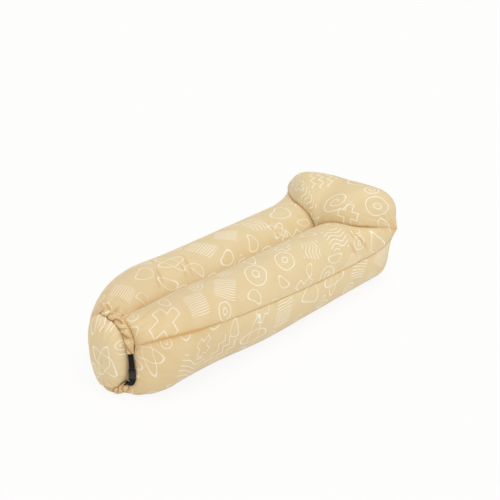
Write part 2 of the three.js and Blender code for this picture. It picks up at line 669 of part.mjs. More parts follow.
// Panels of the shell: grids that share their edges, so that the walls meet on shared mitres

const gridOf = (rows, columns, pointAt) => evenly(rows)
  .map((_, r) => evenly(columns).map((__, c) => pointAt(r, c)));

const sideGrid = (side) => gridOf(ROWS, SIDE_COLUMNS, (r, c) => sidePanelPoint(r, c, side));
const topGrid = (side) => gridOf(ROWS, TOP_COLUMNS, (r, c) => topPanelPoint(r, c, side));

const shell = {
  base_panel: { grid: gridOf(ROWS, FLOOR_COLUMNS, basePanelPoint), flip: true },
  side_panel_left: { grid: sideGrid(LEFT), flip: false },
  side_panel_right: { grid: sideGrid(RIGHT), flip: true },
  tube_top_left: { grid: topGrid(LEFT), flip: false },
  tube_top_right: { grid: topGrid(RIGHT), flip: true },
  headrest_panel: { grid: gridOf(HEADREST_ROWS, FLOOR_COLUMNS, headrestPoint), flip: false, tipped: true },
  rear_panel: { grid: gridOf(REAR_PANEL_ROWS, FLOOR_COLUMNS, rearPanelPoint), flip: true },
};
const dome = {
  grid: gridOf(DOME_WRAP_ROWS + DOME_CAP_ROWS, ringAngles.length - 1, domePoint),
  flip: false,
  closed: true,
};

const keyOf = (p) => p.toArray().map((value) => Math.round(value / (SEAM_GAP / 10))).join();

// One outward direction for each point, shared by all the panels that meet there: each face counts by
// the angle of its corner
function sharedNormals(panels) {
  const normals = new Map();
  panels.forEach(({ grid, flip }) => {
    const points = grid.flat();
    gridTriangles(grid.length, grid[0].length, 0, flip).forEach((face) => {
      const corners = face.map((i) => points[i]);
      corners.forEach((p, i) => {
        const ahead = corners[(i + 1) % corners.length].clone().sub(p);
        const behind = corners[(i + 2) % corners.length].clone().sub(p);
        if (ahead.length() * behind.length() === 0) return;
        const normal = ahead.clone().cross(behind).normalize().multiplyScalar(ahead.angleTo(behind));
        normals.set(keyOf(p), (normals.get(keyOf(p)) ?? vec(0, 0, 0)).add(normal));
      });
    });
  });
  normals.forEach((normal) => normal.normalize());
  return normals;
}

const sunk = (grid, normals, depth) => grid
  .map((row) => row.map((p) => p.clone().addScaledVector(normals.get(keyOf(p)), -depth)));

const stepTowards = (from, to, length) => {
  const step = to.clone().sub(from);
  return from.clone().addScaledVector(step, length / Math.max(step.length(), length));
};

// Draws the border of a grid in from the seam lines by half the seam gap; a tipped grid ends in two points
function drawnIn(grid, tipped) {
  const half = SEAM_GAP / 2;
  const lastRow = grid.length - 1;
  const lastColumn = grid[0].length - 1;
  const middle = Math.round(lastRow / 2);
  const inRows = grid.map((row, r) => row.map((p, c) => {
    if (r === 0) return stepTowards(p, grid[1][c], half);
    if (r === lastRow) return stepTowards(p, grid[lastRow - 1][c], half);
    return p.clone();
  }));
  return inRows.map((row, r) => row.map((p, c) => {
    const next = { 0: 1, [lastColumn]: lastColumn - 1 }[c];
    if (next === undefined) return p;
    if (tipped) return stepTowards(grid[middle][c], grid[middle][next], TIP_SETBACK);
    return stepTowards(p, inRows[r][next], half);
  }));
}

const shellNormals = sharedNormals(Object.values(shell));
const inside = {};
Object.entries(shell).forEach(([name, { grid, flip, tipped }]) => {
  inside[name] = sunk(grid, shellNormals, WALL);
  addPiece(name, clothBody(drawnIn(grid, tipped), drawnIn(inside[name], tipped), flip), CLOTH);
});

// The dome is closed round, so only its lip is drawn in
const domeNormals = sharedNormals([dome]);
const domeInside = sunk(dome.grid, domeNormals, WALL);
addPiece('mouth_dome', clothBody(dome.grid, domeInside, dome.flip, dome.closed), CLOTH);

// Roll of the two mouth lips, with the stiffening strips in its core

const rollAngles = evenly(ROLL_STEPS).map((t) => mix(ROLL_START, ROLL_END, t));
const rollFrames = rollAngles.map(ringFrame);
const rectangle = (halfWidth, bottom, top) => [
  new THREE.Vector2(bottom, -halfWidth),
  new THREE.Vector2(top, -halfWidth),
  new THREE.Vector2(top, halfWidth),
  new THREE.Vector2(bottom, halfWidth),
];
const rollOutline = (step) => evenly(ROLL_SIDES).slice(0, -1).map((t) => new THREE.Vector2(
  rollRadiusAt(rollAngles[step]) * Math.cos(t * 2 * Math.PI),
  rollRadiusAt(rollAngles[step]) * Math.sin(t * 2 * Math.PI),
));
const stripSpan = STRIP_THICKNESS + POCKET_CLEARANCE / 2;
const pocketReach = stripSpan + POCKET_CLEARANCE;
const pocket = rectangle(STRIP_WIDTH / 2 + POCKET_CLEARANCE, -pocketReach, pocketReach);
addPiece('mouth_roll', sweptBody(rollFrames, rollOutline, () => pocket), ROLLED_CLOTH);

const strips = { mouth_strip_outer: RIGHT, mouth_strip_inner: LEFT };
Object.entries(strips).forEach(([name, away]) => {
  const near = away * (POCKET_CLEARANCE / 2);
  const far = away * stripSpan;
  const outline = rectangle(STRIP_WIDTH / 2, Math.min(near, far), Math.max(near, far));
  addPiece(name, sweptBody(rollFrames.slice(1, -1), () => outline), STIFFENER);
});

// Centre baffle: an upright web from the base to the valley seam

const baffleRows = evenly(ROWS).map((_, row) => row).slice(SHOULDER_ROWS, ROWS);
const baffleFace = (offset) => baffleRows.map((row) => {
  const valley = topPanelPoint(row, TOP_COLUMNS, LEFT);
  const foot = WALL + SEAM_GAP;
  return [foot, valley.z - WALL - 2 * SEAM_GAP].map((z) => vec(valley.x, valley.y + offset, z));
});
addPiece(
  'centre_baffle',
  clothBody(baffleFace(BAFFLE_THICKNESS / 2), baffleFace(-BAFFLE_THICKNESS / 2), true),
  INNER_CLOTH,
);

// Airtight tapes: each is bent over the inside of a seam, and lies on both of its panels

function tapeStation(seam, nextA, nextB, normals, depth) {
  const reach = (next) => {
    const point = stepTowards(seam.inner, next.inner, TAPE_HALF_WIDTH);
    const share = TAPE_HALF_WIDTH / seam.inner.distanceTo(next.inner);
    const normal = mixPoints(normals.get(seam.key), normals.get(next.key), share).normalize();
    return point.addScaledVector(normal, -depth);
  };
  const ridge = seam.inner.clone().addScaledVector(normals.get(seam.key), -depth);
  return [reach(nextA), ridge, reach(nextB)];
}

function addTape(name, flip, stations) {
  const face = (depth) => stations.map(([a, seam, b]) => tapeStation(seam, a, b, shellNormals, depth));
  addPiece(name, clothBody(face(TAPE_GAP), face(TAPE_GAP + TAPE_THICKNESS), flip), TAPE_FILM);
}

const insidePoint = (name, row, column) => ({
  inner: inside[name][row][column],
  key: keyOf(shell[name].grid[row][column]),
});
const between = (first, last) => Array.from({ length: last - first + 1 }, (_, i) => first + i);

[LEFT, RIGHT].forEach((side) => {
  const hand = SIDE_NAMES[side];
  const sidePanel = `side_panel_${hand}`;
  const tubeTop = `tube_top_${hand}`;
  const floorEdge = side === LEFT ? 0 : FLOOR_COLUMNS;
  const floorNext = side === LEFT ? 1 : FLOOR_COLUMNS - 1;
  const seamFlip = side === LEFT;
  addTape(`side_seam_tape_${hand}`, !seamFlip, between(1, ROWS - REAR_ROWS + 1).map((row) => [
    insidePoint(sidePanel, row, SIDE_COLUMNS - 1),
    insidePoint(sidePanel, row, SIDE_COLUMNS),
    insidePoint(tubeTop, row, 1),
  ]));
  addTape(`floor_seam_tape_${hand}`, !seamFlip, between(1, ROWS - 1).map((row) => [
    insidePoint('base_panel', row, floorNext),
    insidePoint('base_panel', row, floorEdge),
    insidePoint(sidePanel, row, 1),
  ]));
  addTape(`rear_seam_tape_${hand}`, !seamFlip, between(2, SIDE_COLUMNS - 1).map((column) => [
    insidePoint('rear_panel', column, floorNext),
    insidePoint(sidePanel, ROWS, column),
    insidePoint(sidePanel, ROWS - 1, column),
  ]));
  addTape(`crease_tape_${hand}`, seamFlip, between(1, TOP_COLUMNS - 2).map((column) => [
    insidePoint(tubeTop, ROWS - 1, column),
    insidePoint(tubeTop, ROWS, column),
    insidePoint('headrest_panel', 1, side === LEFT ? column : FLOOR_COLUMNS - column),
  ]));
});
addTape('headrest_seam_tape', false, between(1, FLOOR_COLUMNS - 1).map((column) => [
  insidePoint('rear_panel', REAR_PANEL_ROWS - 1, column),
  insidePoint('rear_panel', REAR_PANEL_ROWS, column),
  insidePoint('headrest_panel', HEADREST_ROWS - 1, column),
]));
addTape('rear_floor_seam_tape', false, between(1, FLOOR_COLUMNS - 1).map((column) => [
  insidePoint('base_panel', ROWS - 1, column),
  insidePoint('base_panel', ROWS, column),
  insidePoint('rear_panel', 1, column),
]));

// Side-release buckle: built upright with its width along x and its face towards -y, then turned and moved
// to its place across the gap in the roll

const wasm = await Module();
wasm.setup();

function solidOf(geometry) {
  const bare = new THREE.BufferGeometry();
  bare.setAttribute('position', geometry.getAttribute('position'));
  bare.setIndex(geometry.getIndex());
  const merged = mergeVertices(bare);
  return new wasm.Manifold(new wasm.Mesh({
    numProp: 3,
    vertProperties: merged.getAttribute('position').array,
    triVerts: Uint32Array.from(merged.getIndex().array),
  }));
}

function geometryOf(solid) {
  const mesh = solid.getMesh();
  const geometry = new THREE.BufferGeometry();
  geometry.setAttribute('position', new THREE.BufferAttribute(mesh.vertProperties, mesh.numProp));
  geometry.setIndex(new THREE.BufferAttribute(mesh.triVerts, 1));
  geometry.computeVertexNormals();
  return geometry;
}

const block = (halfWidth, nearY, farY, bottom, top) => solidOf(
  new THREE.BoxGeometry(2 * halfWidth, farY - nearY, top - bottom)
    .translate(0, (nearY + farY) / 2, (bottom + top) / 2),
);

// An upright plate of some outline in x and z, as deep as given and centred on y = 0
function plateOf(outline, depth, bevel) {
  const geometry = new THREE.ExtrudeGeometry(outline, {
    depth: depth - 2 * bevel,
    bevelEnabled: bevel > 0,
    bevelThickness: bevel,
    bevelSize: bevel,
    bevelOffset: -bevel,
    bevelSegments: 1,
    curveSegments: CORNER_STEPS,
  });
  geometry.translate(0, 0, bevel - depth / 2).rotateX(QUARTER_TURN);
  return solidOf(geometry);
}

function roundedOutline(halfWidth, bottom, top, corner) {
  const outline = new THREE.Shape();
  outline.moveTo(-halfWidth + corner, bottom);
  outline.lineTo(halfWidth - corner, bottom);
  outline.quadraticCurveTo(halfWidth, bottom, halfWidth, bottom + corner);
  outline.lineTo(halfWidth, top - corner);
  outline.quadraticCurveTo(halfWidth, top, halfWidth - corner, top);
  outline.lineTo(-halfWidth + corner, top);
  outline.quadraticCurveTo(-halfWidth, top, -halfWidth, top - corner);
  outline.lineTo(-halfWidth, bottom + corner);
  outline.quadraticCurveTo(-halfWidth, bottom, -halfWidth + corner, bottom);
  return outline;
}

// Cuts a webbing slot and leaves a slim bar between it and the end of the buckle half
function withBar(solid, endHeight, inward) {
  const halfWidth = WEBBING_WIDTH / 2 + WEBBING_CLEARANCE;
  const barTop = endHeight + inward * BAR_HEIGHT;
  const slotTop = barTop + inward * BAR_SLOT;
  const beyond = endHeight - inward * BAR_HEIGHT;
  const [slotLow, slotHigh] = [Math.min(barTop, slotTop), Math.max(barTop, slotTop)];
  const slot = block(halfWidth, -BUCKLE_DEPTH, BUCKLE_DEPTH, slotLow, slotHigh);
  const [low, high] = [Math.min(beyond, barTop), Math.max(beyond, barTop)];
  const front = block(halfWidth, -BUCKLE_DEPTH, -BAR_DEPTH / 2, low, high);
  const back = block(halfWidth, BAR_DEPTH / 2, BUCKLE_DEPTH, low, high);
  return solid.subtract(slot).subtract(front).subtract(back);
}

const THROAT_BOTTOM = SOCKET_TOP - THROAT_HEIGHT;
const WINDOW_BOTTOM = THROAT_BOTTOM - WINDOW_HEIGHT;
const CAVITY_HALF_DEPTH = BUCKLE_DEPTH / 2 - SOCKET_PLATE;
const buckleCentre = ringPoint(0).add(vec(0, -BUCKLE_OUTSET, 0));
const buckleTurn = -radians(BUCKLE_TURN);
const BUCKLE_HALF_WIDTH = BUCKLE_WIDTH / 2;

function addBucklePiece(name, solid, pivot = vec(0, 0, 0)) {
  addPiece(name, geometryOf(solid.translate([-pivot.x, -pivot.y, -pivot.z])), BUCKLE_PLASTIC);
  const piece = group.children[group.children.length - 1];
  piece.rotation.z = buckleTurn;
  piece.position.copy(pivot.clone().applyAxisAngle(vec(0, 0, 1), buckleTurn));
  piece.position.x += buckleCentre.x;
  piece.position.y += buckleCentre.y;
}

const socketOutline = roundedOutline(BUCKLE_HALF_WIDTH, SOCKET_BOTTOM, SOCKET_TOP, SOCKET_CORNER);
const throat = block(
  THROAT_HALF_WIDTH,
  -CAVITY_HALF_DEPTH,
  CAVITY_HALF_DEPTH,
  THROAT_BOTTOM - SEAM_GAP,
  SOCKET_TOP + BUCKLE_DEPTH,
);
const windows = block(BUCKLE_WIDTH, -CAVITY_HALF_DEPTH, CAVITY_HALF_DEPTH, WINDOW_BOTTOM, THROAT_BOTTOM);
const socketPlate = withBar(plateOf(socketOutline, BUCKLE_DEPTH, BUCKLE_BEVEL), SOCKET_BOTTOM, 1);
addBucklePiece('buckle_socket', socketPlate.subtract(throat).subtract(windows));

const plugOutline = roundedOutline(BUCKLE_HALF_WIDTH, PLUG_BOTTOM, PLUG_TOP, SOCKET_CORNER);
const tongue = block(
  TONGUE_HALF_WIDTH,
  -PRONG_DEPTH / 2,
  PRONG_DEPTH / 2,
  PLUG_BOTTOM - TONGUE_HEIGHT,
  PLUG_BOTTOM + BAR_HEIGHT,
);
addBucklePiece(
  'buckle_plug',
  withBar(plateOf(plugOutline, BUCKLE_DEPTH - 2 * PLUG_INSET, BUCKLE_BEVEL), PLUG_TOP, -1).add(tongue),
);

// Sprung prongs: each catches under the throat with a pad that fills its side window
const PRONG_TOP = PLUG_BOTTOM - PRONG_ROOT_GAP;
const prongPivot = vec(PRONG_INNER_HALF_WIDTH + PRONG_THICKNESS / 2, 0, PRONG_TOP - PRONG_PIVOT_DROP);
const PAD_TOP = THROAT_BOTTOM - PRONG_CLEARANCE;
const PAD_BOTTOM = PRONG_TOP - PRONG_LENGTH;
const PAD_HALF_WIDTH = THROAT_HALF_WIDTH + PRONG_CATCH;

function prongOutline(side) {
  const corners = [
    [PRONG_INNER_HALF_WIDTH, PAD_BOTTOM],
    [PAD_HALF_WIDTH - PRONG_NOSE, PAD_BOTTOM],
    [PAD_HALF_WIDTH, PAD_BOTTOM + PRONG_NOSE],
    [PAD_HALF_WIDTH, PAD_TOP],
    [PRONG_INNER_HALF_WIDTH + PRONG_THICKNESS, PAD_TOP],
    [PRONG_INNER_HALF_WIDTH + PRONG_THICKNESS, PRONG_TOP],
    [PRONG_INNER_HALF_WIDTH, PRONG_TOP],
  ];
  return new THREE.Shape(corners.map(([x, z]) => new THREE.Vector2(side * x, z)));
}

[LEFT, RIGHT].forEach((side) => {
  const pivot = vec(side * prongPivot.x, prongPivot.y, prongPivot.z);
  addBucklePiece(`latch_prong_${SIDE_NAMES[side]}`, plateOf(prongOutline(side), PRONG_DEPTH, 0), pivot);
});

// Webbing: each strap leaves an end of the roll doubled, passes round a bar of the buckle and comes back

function strapFrames(anchor, anchorTangent, anchorNormal, bar, barTangent) {
  const face = vec(0, -1, 0).applyAxisAngle(vec(0, 0, 1), buckleTurn);
  const path = new THREE.CubicBezierCurve3(
    anchor,
    anchor.clone().addScaledVector(anchorTangent, STRAP_HANDLE_ROLL),
    bar.clone().addScaledVector(barTangent, -STRAP_HANDLE_BUCKLE),
    bar,
  );
  const atAnchor = (WEBBING_THICKNESS + SEAM_GAP) / 2;
  const atBar = Math.hypot(BAR_HEIGHT / 2, BAR_DEPTH / 2) + WEBBING_CLEARANCE + WEBBING_THICKNESS / 2;
  const station = (t) => {
    const tangent = path.getTangent(t).normalize();
    const normal = mixPoints(anchorNormal, face, 1 - (1 - t) ** 2);
    normal.addScaledVector(tangent, -normal.dot(tangent)).normalize();
    const width = tangent.clone().cross(normal);
    return { centre: path.getPoint(t), tangent, normal, width, spread: mix(atAnchor, atBar, t * t) };
  };
  const layer = (away) => evenly(STRAP_STEPS).map(station).map((s) => ({
    centre: s.centre.addScaledVector(s.normal, away * s.spread),
    across: s.normal.multiplyScalar(away),
    up: s.width,
  }));
  const end = station(1);
  const round = evenly(BAR_STEPS).slice(1, -1).map((t) => {
    const across = end.normal.clone().multiplyScalar(Math.cos(t * Math.PI));
    across.addScaledVector(end.tangent, Math.sin(t * Math.PI));
    return { centre: end.centre.clone().addScaledVector(across, end.spread), across, up: end.width };
  });
  return [...layer(1), ...round, ...layer(-1).reverse()];
}

function addStrap(name, degrees, direction, barHeight) {
  const frame = ringFrame(degrees);
  const tangent = frame.across.clone().cross(frame.up).multiplyScalar(direction);
  const anchor = frame.centre.clone().addScaledVector(tangent, SEAM_GAP);
  const bar = vec(buckleCentre.x, buckleCentre.y, barHeight);
  const outline = rectangle(WEBBING_WIDTH / 2, -WEBBING_THICKNESS / 2, WEBBING_THICKNESS / 2);
  const frames = strapFrames(anchor, tangent, frame.across, bar, vec(0, 0, direction));
  addPiece(name, sweptBody(frames, () => outline), WEBBING);
}

addStrap('webbing_lower', ROLL_END, 1, SOCKET_BOTTOM + BAR_HEIGHT / 2);
addStrap('webbing_upper', ROLL_START, -1, PLUG_TOP - BAR_HEIGHT / 2);

export default group;
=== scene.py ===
"""Looks of the inflatable air lounger: its cloth panels, rolled mouth, webbing and buckle.

Sizes that belong to the shape of the lounger are in millimetres, and every mesh is in metres.
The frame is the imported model's: +X towards the head, +Z up, the left side at -Y, the floor at 0.
"""

from __future__ import annotations

import logging
import math
from dataclasses import dataclass
from enum import Enum
from functools import partialmethod
from typing import Any, Callable, NamedTuple, Sequence, Union

import bpy
import numpy as np
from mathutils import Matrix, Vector


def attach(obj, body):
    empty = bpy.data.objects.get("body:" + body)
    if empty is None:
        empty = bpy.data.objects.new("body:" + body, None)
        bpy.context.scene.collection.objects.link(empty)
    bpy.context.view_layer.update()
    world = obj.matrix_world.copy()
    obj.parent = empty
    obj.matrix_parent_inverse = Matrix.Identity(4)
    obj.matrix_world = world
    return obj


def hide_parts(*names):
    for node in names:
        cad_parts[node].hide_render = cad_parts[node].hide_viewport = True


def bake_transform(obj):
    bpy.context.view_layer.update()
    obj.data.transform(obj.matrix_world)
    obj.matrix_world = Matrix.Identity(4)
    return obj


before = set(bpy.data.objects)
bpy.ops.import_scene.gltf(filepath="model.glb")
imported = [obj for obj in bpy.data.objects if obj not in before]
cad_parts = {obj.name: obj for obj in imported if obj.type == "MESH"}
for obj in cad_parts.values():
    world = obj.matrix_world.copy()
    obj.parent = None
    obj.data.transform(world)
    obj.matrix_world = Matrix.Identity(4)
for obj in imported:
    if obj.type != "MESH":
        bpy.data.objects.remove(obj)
log = logging.getLogger("lounger")

MM = 0.001
FULL_TURN = 2 * math.pi
# Points closer than this are one point, in metres: on a copied or swept piece, and on wide cloth
FINE_GAP = 0.00001
CLOTH_GAP = 0.00002
BODY = "lounger"
PLUG_BODY = "plug"
# The point attribute with the share of shade painted into folds, creases and seam grooves
PAINTED_FOLD_SHADE = "fold"

Array = np.ndarray
Colour = tuple[float, float, float]


class Side(Enum):
    """The two sides of the lounger, valued by the sign of their y."""

    LEFT = -1
    RIGHT = 1

    @property
    def hand(self) -> str:
        """The word for this side that piece names use."""
        return self.name.lower()


# Small maths


def mix(a: Any, b: Any, t: Any) -> Any:
    """The value a share t of the way from a to b."""
    return a + (b - a) * t


def smooth(value: Array, low: float, high: float) -> Array:
    """A soft step from 0 at low to 1 at high."""
    t = np.clip((value - low) / (high - low), 0, 1)
    return t * t * (3 - 2 * t)


def unit(vectors: Array) -> Array:
    """The vectors brought to length one."""
    return vectors / np.maximum(np.linalg.norm(vectors, axis=-1, keepdims=True), 1e-12)


def points_of(x: Array, y: Array, z: Array) -> Array:
    """Coordinates stacked into an array of points."""
    return np.stack(np.broadcast_arrays(x, y, z), axis=-1).astype(float)


def with_x(points: Array, x: Array) -> Array:
    """The points with their x replaced.

    Args:
        points: the points.
        x: their new places along the length.

    Returns:
        The moved points.
    """
    moved = np.array(np.broadcast_to(points, np.shape(x) + (3,)), dtype=float)
    moved[..., 0] = x
    return moved


def share3(t: Array) -> Array:
    """A share with an axis added, so that it scales points."""
    return np.asarray(t)[..., None]


def speckle(x: Array, y: Array, seed: float) -> Array:
    """Smooth noise between -1 and 1 on a lattice of whole numbers.

    Args:
        x: places along the lattice.
        y: places across it.
        seed: which noise it is.

    Returns:
        The noise.
    """
    column, row = np.floor(x), np.floor(y)
    u, v = smooth(x - column, 0, 1), smooth(y - row, 0, 1)

    def corner(dx: int, dy: int) -> Array:
        """The chance value at one corner of each place's cell."""
        raw = np.sin((column + dx) * 127.1 + (row + dy) * 311.7 + seed * 74.7) * 43758.5453
        return 2 * (raw - np.floor(raw)) - 1

    return mix(mix(corner(0, 0), corner(1, 0), u), mix(corner(0, 1), corner(1, 1), u), v)


def by_side(side: Array, pair: tuple[Any, Any]) -> Array:
    """The left or the right value of a pair, by the sign of the side."""
    return np.where(np.asarray(side) < 0, *pair)


def bezier(t: Array, corners: Sequence[Array]) -> Array:
    """Points on the smooth curve that these corners draw."""
    last = len(corners) - 1
    return sum(
        math.comb(last, index) * t**index * (1 - t) ** (last - index) * corner
        for index, corner in enumerate(corners)
    )


def bell(away: Array, width: float) -> Array:
    """A soft hump: 1 in the middle and about a third at its width."""
    return np.exp(-((away / width) ** 2))


def risen(away: Array, length: float) -> Array:
    """0 on an edge, and nearly 1 a few lengths away from it."""
    return 1 - np.exp(-away / length)


def pleats(turn: Array) -> Array:
    """Round pleats half a turn wide, with narrow valleys below 0 between them."""
    return (np.abs(np.cos(turn)) ** 0.8 - 0.64) * 1.6


# The shape of the lounger, as the model has it


@dataclass(frozen=True)
class Mouth:
    """The leaning oval that the roll of the mouth follows, in millimetres."""

    drift: float = 62
    top_x: float = -900
    lean: float = 40
    near_half_width: float = 123
    far_half_width: float = 122
    far_half_width_low: float = 72
    squareness: float = 2.6
    far_lift: float = 48
    top: float = 360
    bottom: float = 23.6
    roll_radius: float = 20
    roll_pucker: float = 1.6
    roll_end_radius: float = 13.6
    taper_angle: float = 14
    closing_angle: float = 16
    closing_lead: float = 13
    lip_gap: float = 0.36
    body_lip_angle: float = 48
    body_meeting_angle: float = 120
    dome_lip_angle: float = 180
    dome_meeting_angle: float = 126
    lower_end_height: float = 75.6
    upper_end_height: float = 242.96

    @property
    def middle(self) -> float:
        """Height of the oval's middle."""
        return (self.top + self.bottom) / 2

    @property
    def half_height(self) -> float:
        """Half the oval's height."""
        return (self.top - self.bottom) / 2

    @property
    def lip_reach(self) -> float:
        """How far from the roll's axis the two lips run."""
        return self.roll_radius + self.roll_pucker + self.lip_gap

    @property
    def back(self) -> Array:
        """The direction back into the body, square to the oval's plane."""
        return unit(np.array([self.top - self.bottom, 0.0, -self.lean]))

    def angle_at(self, height: float) -> float:
        """The angle at which the oval's left side passes a height."""
        share = (height - self.middle) / self.half_height
        return math.degrees(math.asin(math.copysign(abs(share) ** (self.squareness / 2), share)))

    @property
    def roll_start(self) -> float:
        """Angle of the roll's upper end."""
        return self.angle_at(self.upper_end_height)

    @property
    def roll_end(self) -> float:
        """Angle of the roll's lower end, after the way round."""
        return 360 + self.angle_at(self.lower_end_height)

    def point(self, degrees: Array) -> Array:
        """Points on the oval; angle 0 is the left side and 90 degrees the top.

        Args:
            degrees: angles round the oval.

        Returns:
            The points, in millimetres.
        """
        sine, cosine = np.sin(np.radians(degrees)), np.cos(np.radians(degrees))
        rise = np.sign(sine) * np.abs(sine) ** (2 / self.squareness)
        reach = np.sign(cosine) * np.abs(cosine) ** (2 / self.squareness)
        far = mix(self.far_half_width_low, self.far_half_width, smooth(sine, -1, 1))
        half_width = np.where(cosine > 0, self.near_half_width, far)
        lift = self.far_lift * np.maximum(sine, 0) * (1 - cosine) / 2
        x = self.top_x - self.lean * (1 - rise) / 2
        height = self.middle + self.half_height * rise + lift
        return points_of(x, -self.drift - half_width * reach, height)

    def outward(self, degrees: Array) -> Array:
        """Directions in the oval's plane, away from its middle."""
        heading = self.point(degrees + 1) - self.point(degrees - 1)
        return unit(np.cross(self.back, heading))

    def beside(self, degrees: Array, turn: Array, reach: Array) -> Array:
        """Points beside the roll; turn 0 is away from the middle, 90 degrees is into the body.

        Args:
            degrees: places along the roll, as angles round the oval.
            turn: angles round the roll's axis.
            reach: distances from that axis.

        Returns:
            The points, in millimetres.
        """
        turned = np.radians(turn)
        across = self.outward(degrees) * share3(reach * np.cos(turned))
        return self.point(degrees) + across + self.back * share3(reach * np.sin(turned))

    def from_roll_end(self, degrees: Array) -> Array:
        """Degrees from the nearer end of the roll, negative across the buckle's gap."""
        turned = np.mod(degrees - self.roll_start + self.closing_angle, 360) - self.closing_angle
        return np.minimum(turned, self.roll_end - self.roll_start - turned)

    def gap_share(self, degrees: Array) -> Array:
        """How far the lips have closed on each other behind the webbing."""
        closed = (self.closing_lead - self.from_roll_end(degrees)) / self.closing_angle
        return np.clip(closed, 0, 1)

    def body_lip(self, degrees: Array) -> Array:
        """The lip of the body, behind the roll."""
        turn = mix(self.body_lip_angle, self.body_meeting_angle, self.gap_share(degrees))
        return self.beside(degrees, turn, np.full(np.shape(degrees), self.lip_reach))

    def dome_lip_turn(self, degrees: Array) -> Array:
        """How far round the roll the dome's lip lies."""
        return mix(self.dome_lip_angle, self.dome_meeting_angle, self.gap_share(degrees))


@dataclass(frozen=True)
class Stations:
    """Shares that say how far a row is from the mouth and from the rear."""

    foot: Array
    foot_hold: Array
    run: Array
    rear: Array
    rear_hold: Array


@dataclass(frozen=True)
class Hull:
    """The inflated body in millimetres: two tubes on a flat base, a headrest, a rounded rear."""

    mouth: Mouth = Mouth()
    floor_half_width_foot: float = 106
    floor_half_width: float = 231
    floor_half_width_rear: float = 289
    corner_reach: float = 13
    corner_give: float = 12
    seam_half_width: float = 352
    seam_half_width_foot: float = 276
    seam_height: float = 204
    seam_rise_foot: float = 146
    seam_rise_power: float = 2.2
    crest_spacing: float = 189
    crest_spacing_foot: float = 160
    crest_height: float = 382
    crest_rise_foot: float = 22
    crest_drop_head: float = 12
    axis_height: float = 200
    axis_rise_foot: float = 60
    valley_height: float = 250
    valley_rise_foot: float = 95
    foot_rise_length: float = 900
    foot_taper_length: float = 520
    rear_x: float = 974.38
    rear_rounding: float = 130
    rear_edge_half_widths: tuple[float, float] = (262, 297)
    rear_edge_level: float = 0.8
    rear_bulge: float = 14
    crease_setback: float = 268
    crease_power: float = 3
    crease_crests: tuple[float, float] = (337, 366)
    crease_axis_height: float = 225
    crease_lean: float = 20
    ear_setback: float = 62
    ear_half_width: float = 368
    ear_heights: tuple[float, float] = (323, 352)
    ear_tip: float = 26
    flare_width: float = 4
    flare_height: float = 80
    flare_start_x: float = 450
    headrest_height: float = 492
    headrest_rear_setback: float = 24
    headrest_half_widths: tuple[float, float] = (375, 392)
    headrest_corner_powers: tuple[float, float] = (3.05, 2.2)
    headrest_crown: float = 110
    headrest_crown_power: float = 3
    headrest_lean: float = 44
    shoulder_top: float = 290
    side_shoulders: tuple[float, float] = (235, 315)
    shoulder_floor: float = 72
    seam_ring_angle: float = 22
    floor_ring_angle: float = -56
    dome_fullness: float = 1.8
    dome_wrap: float = 20
    dome_wrap_far: float = 125
    dome_overhang: float = 6
    dome_far_power: float = 1.4
    foot_end_x: float = -990
    shoulder_rows: float = 5
    straight_rows: float = 11
    rear_rows: float = 4
    top_columns: float = 9
    side_columns: float = 5
    headrest_rows: float = 8
    dome_wrap_rows: float = 3
    dome_cap_rows: float = 5

    @property
    def rows(self) -> float:
        """The last row of the panels that run lengthwise."""
        return self.shoulder_rows + self.straight_rows + self.rear_rows

    @property
    def floor_columns(self) -> float:
        """The last column of the panels that run right across."""
        return 2 * self.top_columns

    @property
    def ear_x(self) -> float:
        """Where the ears are along the length."""
        return self.rear_x - self.ear_setback

    def ear_height(self, side: Array) -> Array:
        """Height of the ear on the side of a sign."""
        return by_side(side, self.ear_heights)

    def ring_angle(self, angle: Array, side: Array) -> Array:
        """An angle on the left half of the oval, carried over to the side of a sign."""
        return by_side(side, (angle, 180 - angle))

    def side_shoulder(self, side: Array) -> Array:
        """Length of the rounded shoulder at a side seam, longer on the far side."""
        return by_side(side, self.side_shoulders)

    def stations(self, row: Array) -> Stations:
        """The shares of each row.

        Args:
            row: rows of a panel.

        Returns:
            Their shares.
        """
        straight_end = self.shoulder_rows + self.straight_rows
        foot_turn = np.clip(row / self.shoulder_rows, 0, 1) * math.pi / 2
        rear_turn = np.clip((row - straight_end) / self.rear_rows, 0, 1) * math.pi / 2
        return Stations(
            foot=1 - np.cos(foot_turn),
            foot_hold=1 - np.sin(foot_turn),
            run=np.clip((row - self.shoulder_rows) / self.straight_rows, 0, 1),
            rear=np.sin(rear_turn),
            rear_hold=1 - np.cos(rear_turn),
        )

    def station_x(self, at: Stations, ring_x: Array, shoulder: Array, end_x: Array) -> Array:
        """Where a row stands along the length."""
        straight = mix(ring_x + shoulder, end_x - self.rear_rounding, at.run)
        return straight - shoulder * (1 - at.foot) + self.rear_rounding * at.rear

    # Sizes that drift along the length

    def rise_share(self, x: Array) -> Array:
        """How far the foot has risen."""
        return smooth(self.mouth.top_x + self.foot_rise_length - x, 0, self.foot_rise_length)

    def taper_share(self, x: Array) -> Array:
        """How far the foot has drawn in."""
        return smooth(self.mouth.top_x + self.foot_taper_length - x, 0, self.foot_taper_length)

    def flare_share(self, x: Array, side: Array) -> Array:
        """How far the far side has flared out towards its ear."""
        return by_side(side, (0.0, smooth(x, self.flare_start_x, self.ear_x)))

    def seam_height_at(self, x: Array, side: Array) -> Array:
        """Height of the side seam.

        Args:
            x: places along the length.
            side: -1 for the left side and 1 for the right.

        Returns:
            The heights.
        """
        start = self.rear_x - self.rear_rounding
        share = np.clip((start - x) / (start - self.mouth.top_x), 0, 1)
        rise = self.seam_rise_foot * share**self.seam_rise_power
        return self.seam_height + rise + self.flare_height * self.flare_share(x, side)

    def centre_at(self, x: Array) -> Array:
        """Where the middle line lies across."""
        return -self.mouth.drift * self.taper_share(x)

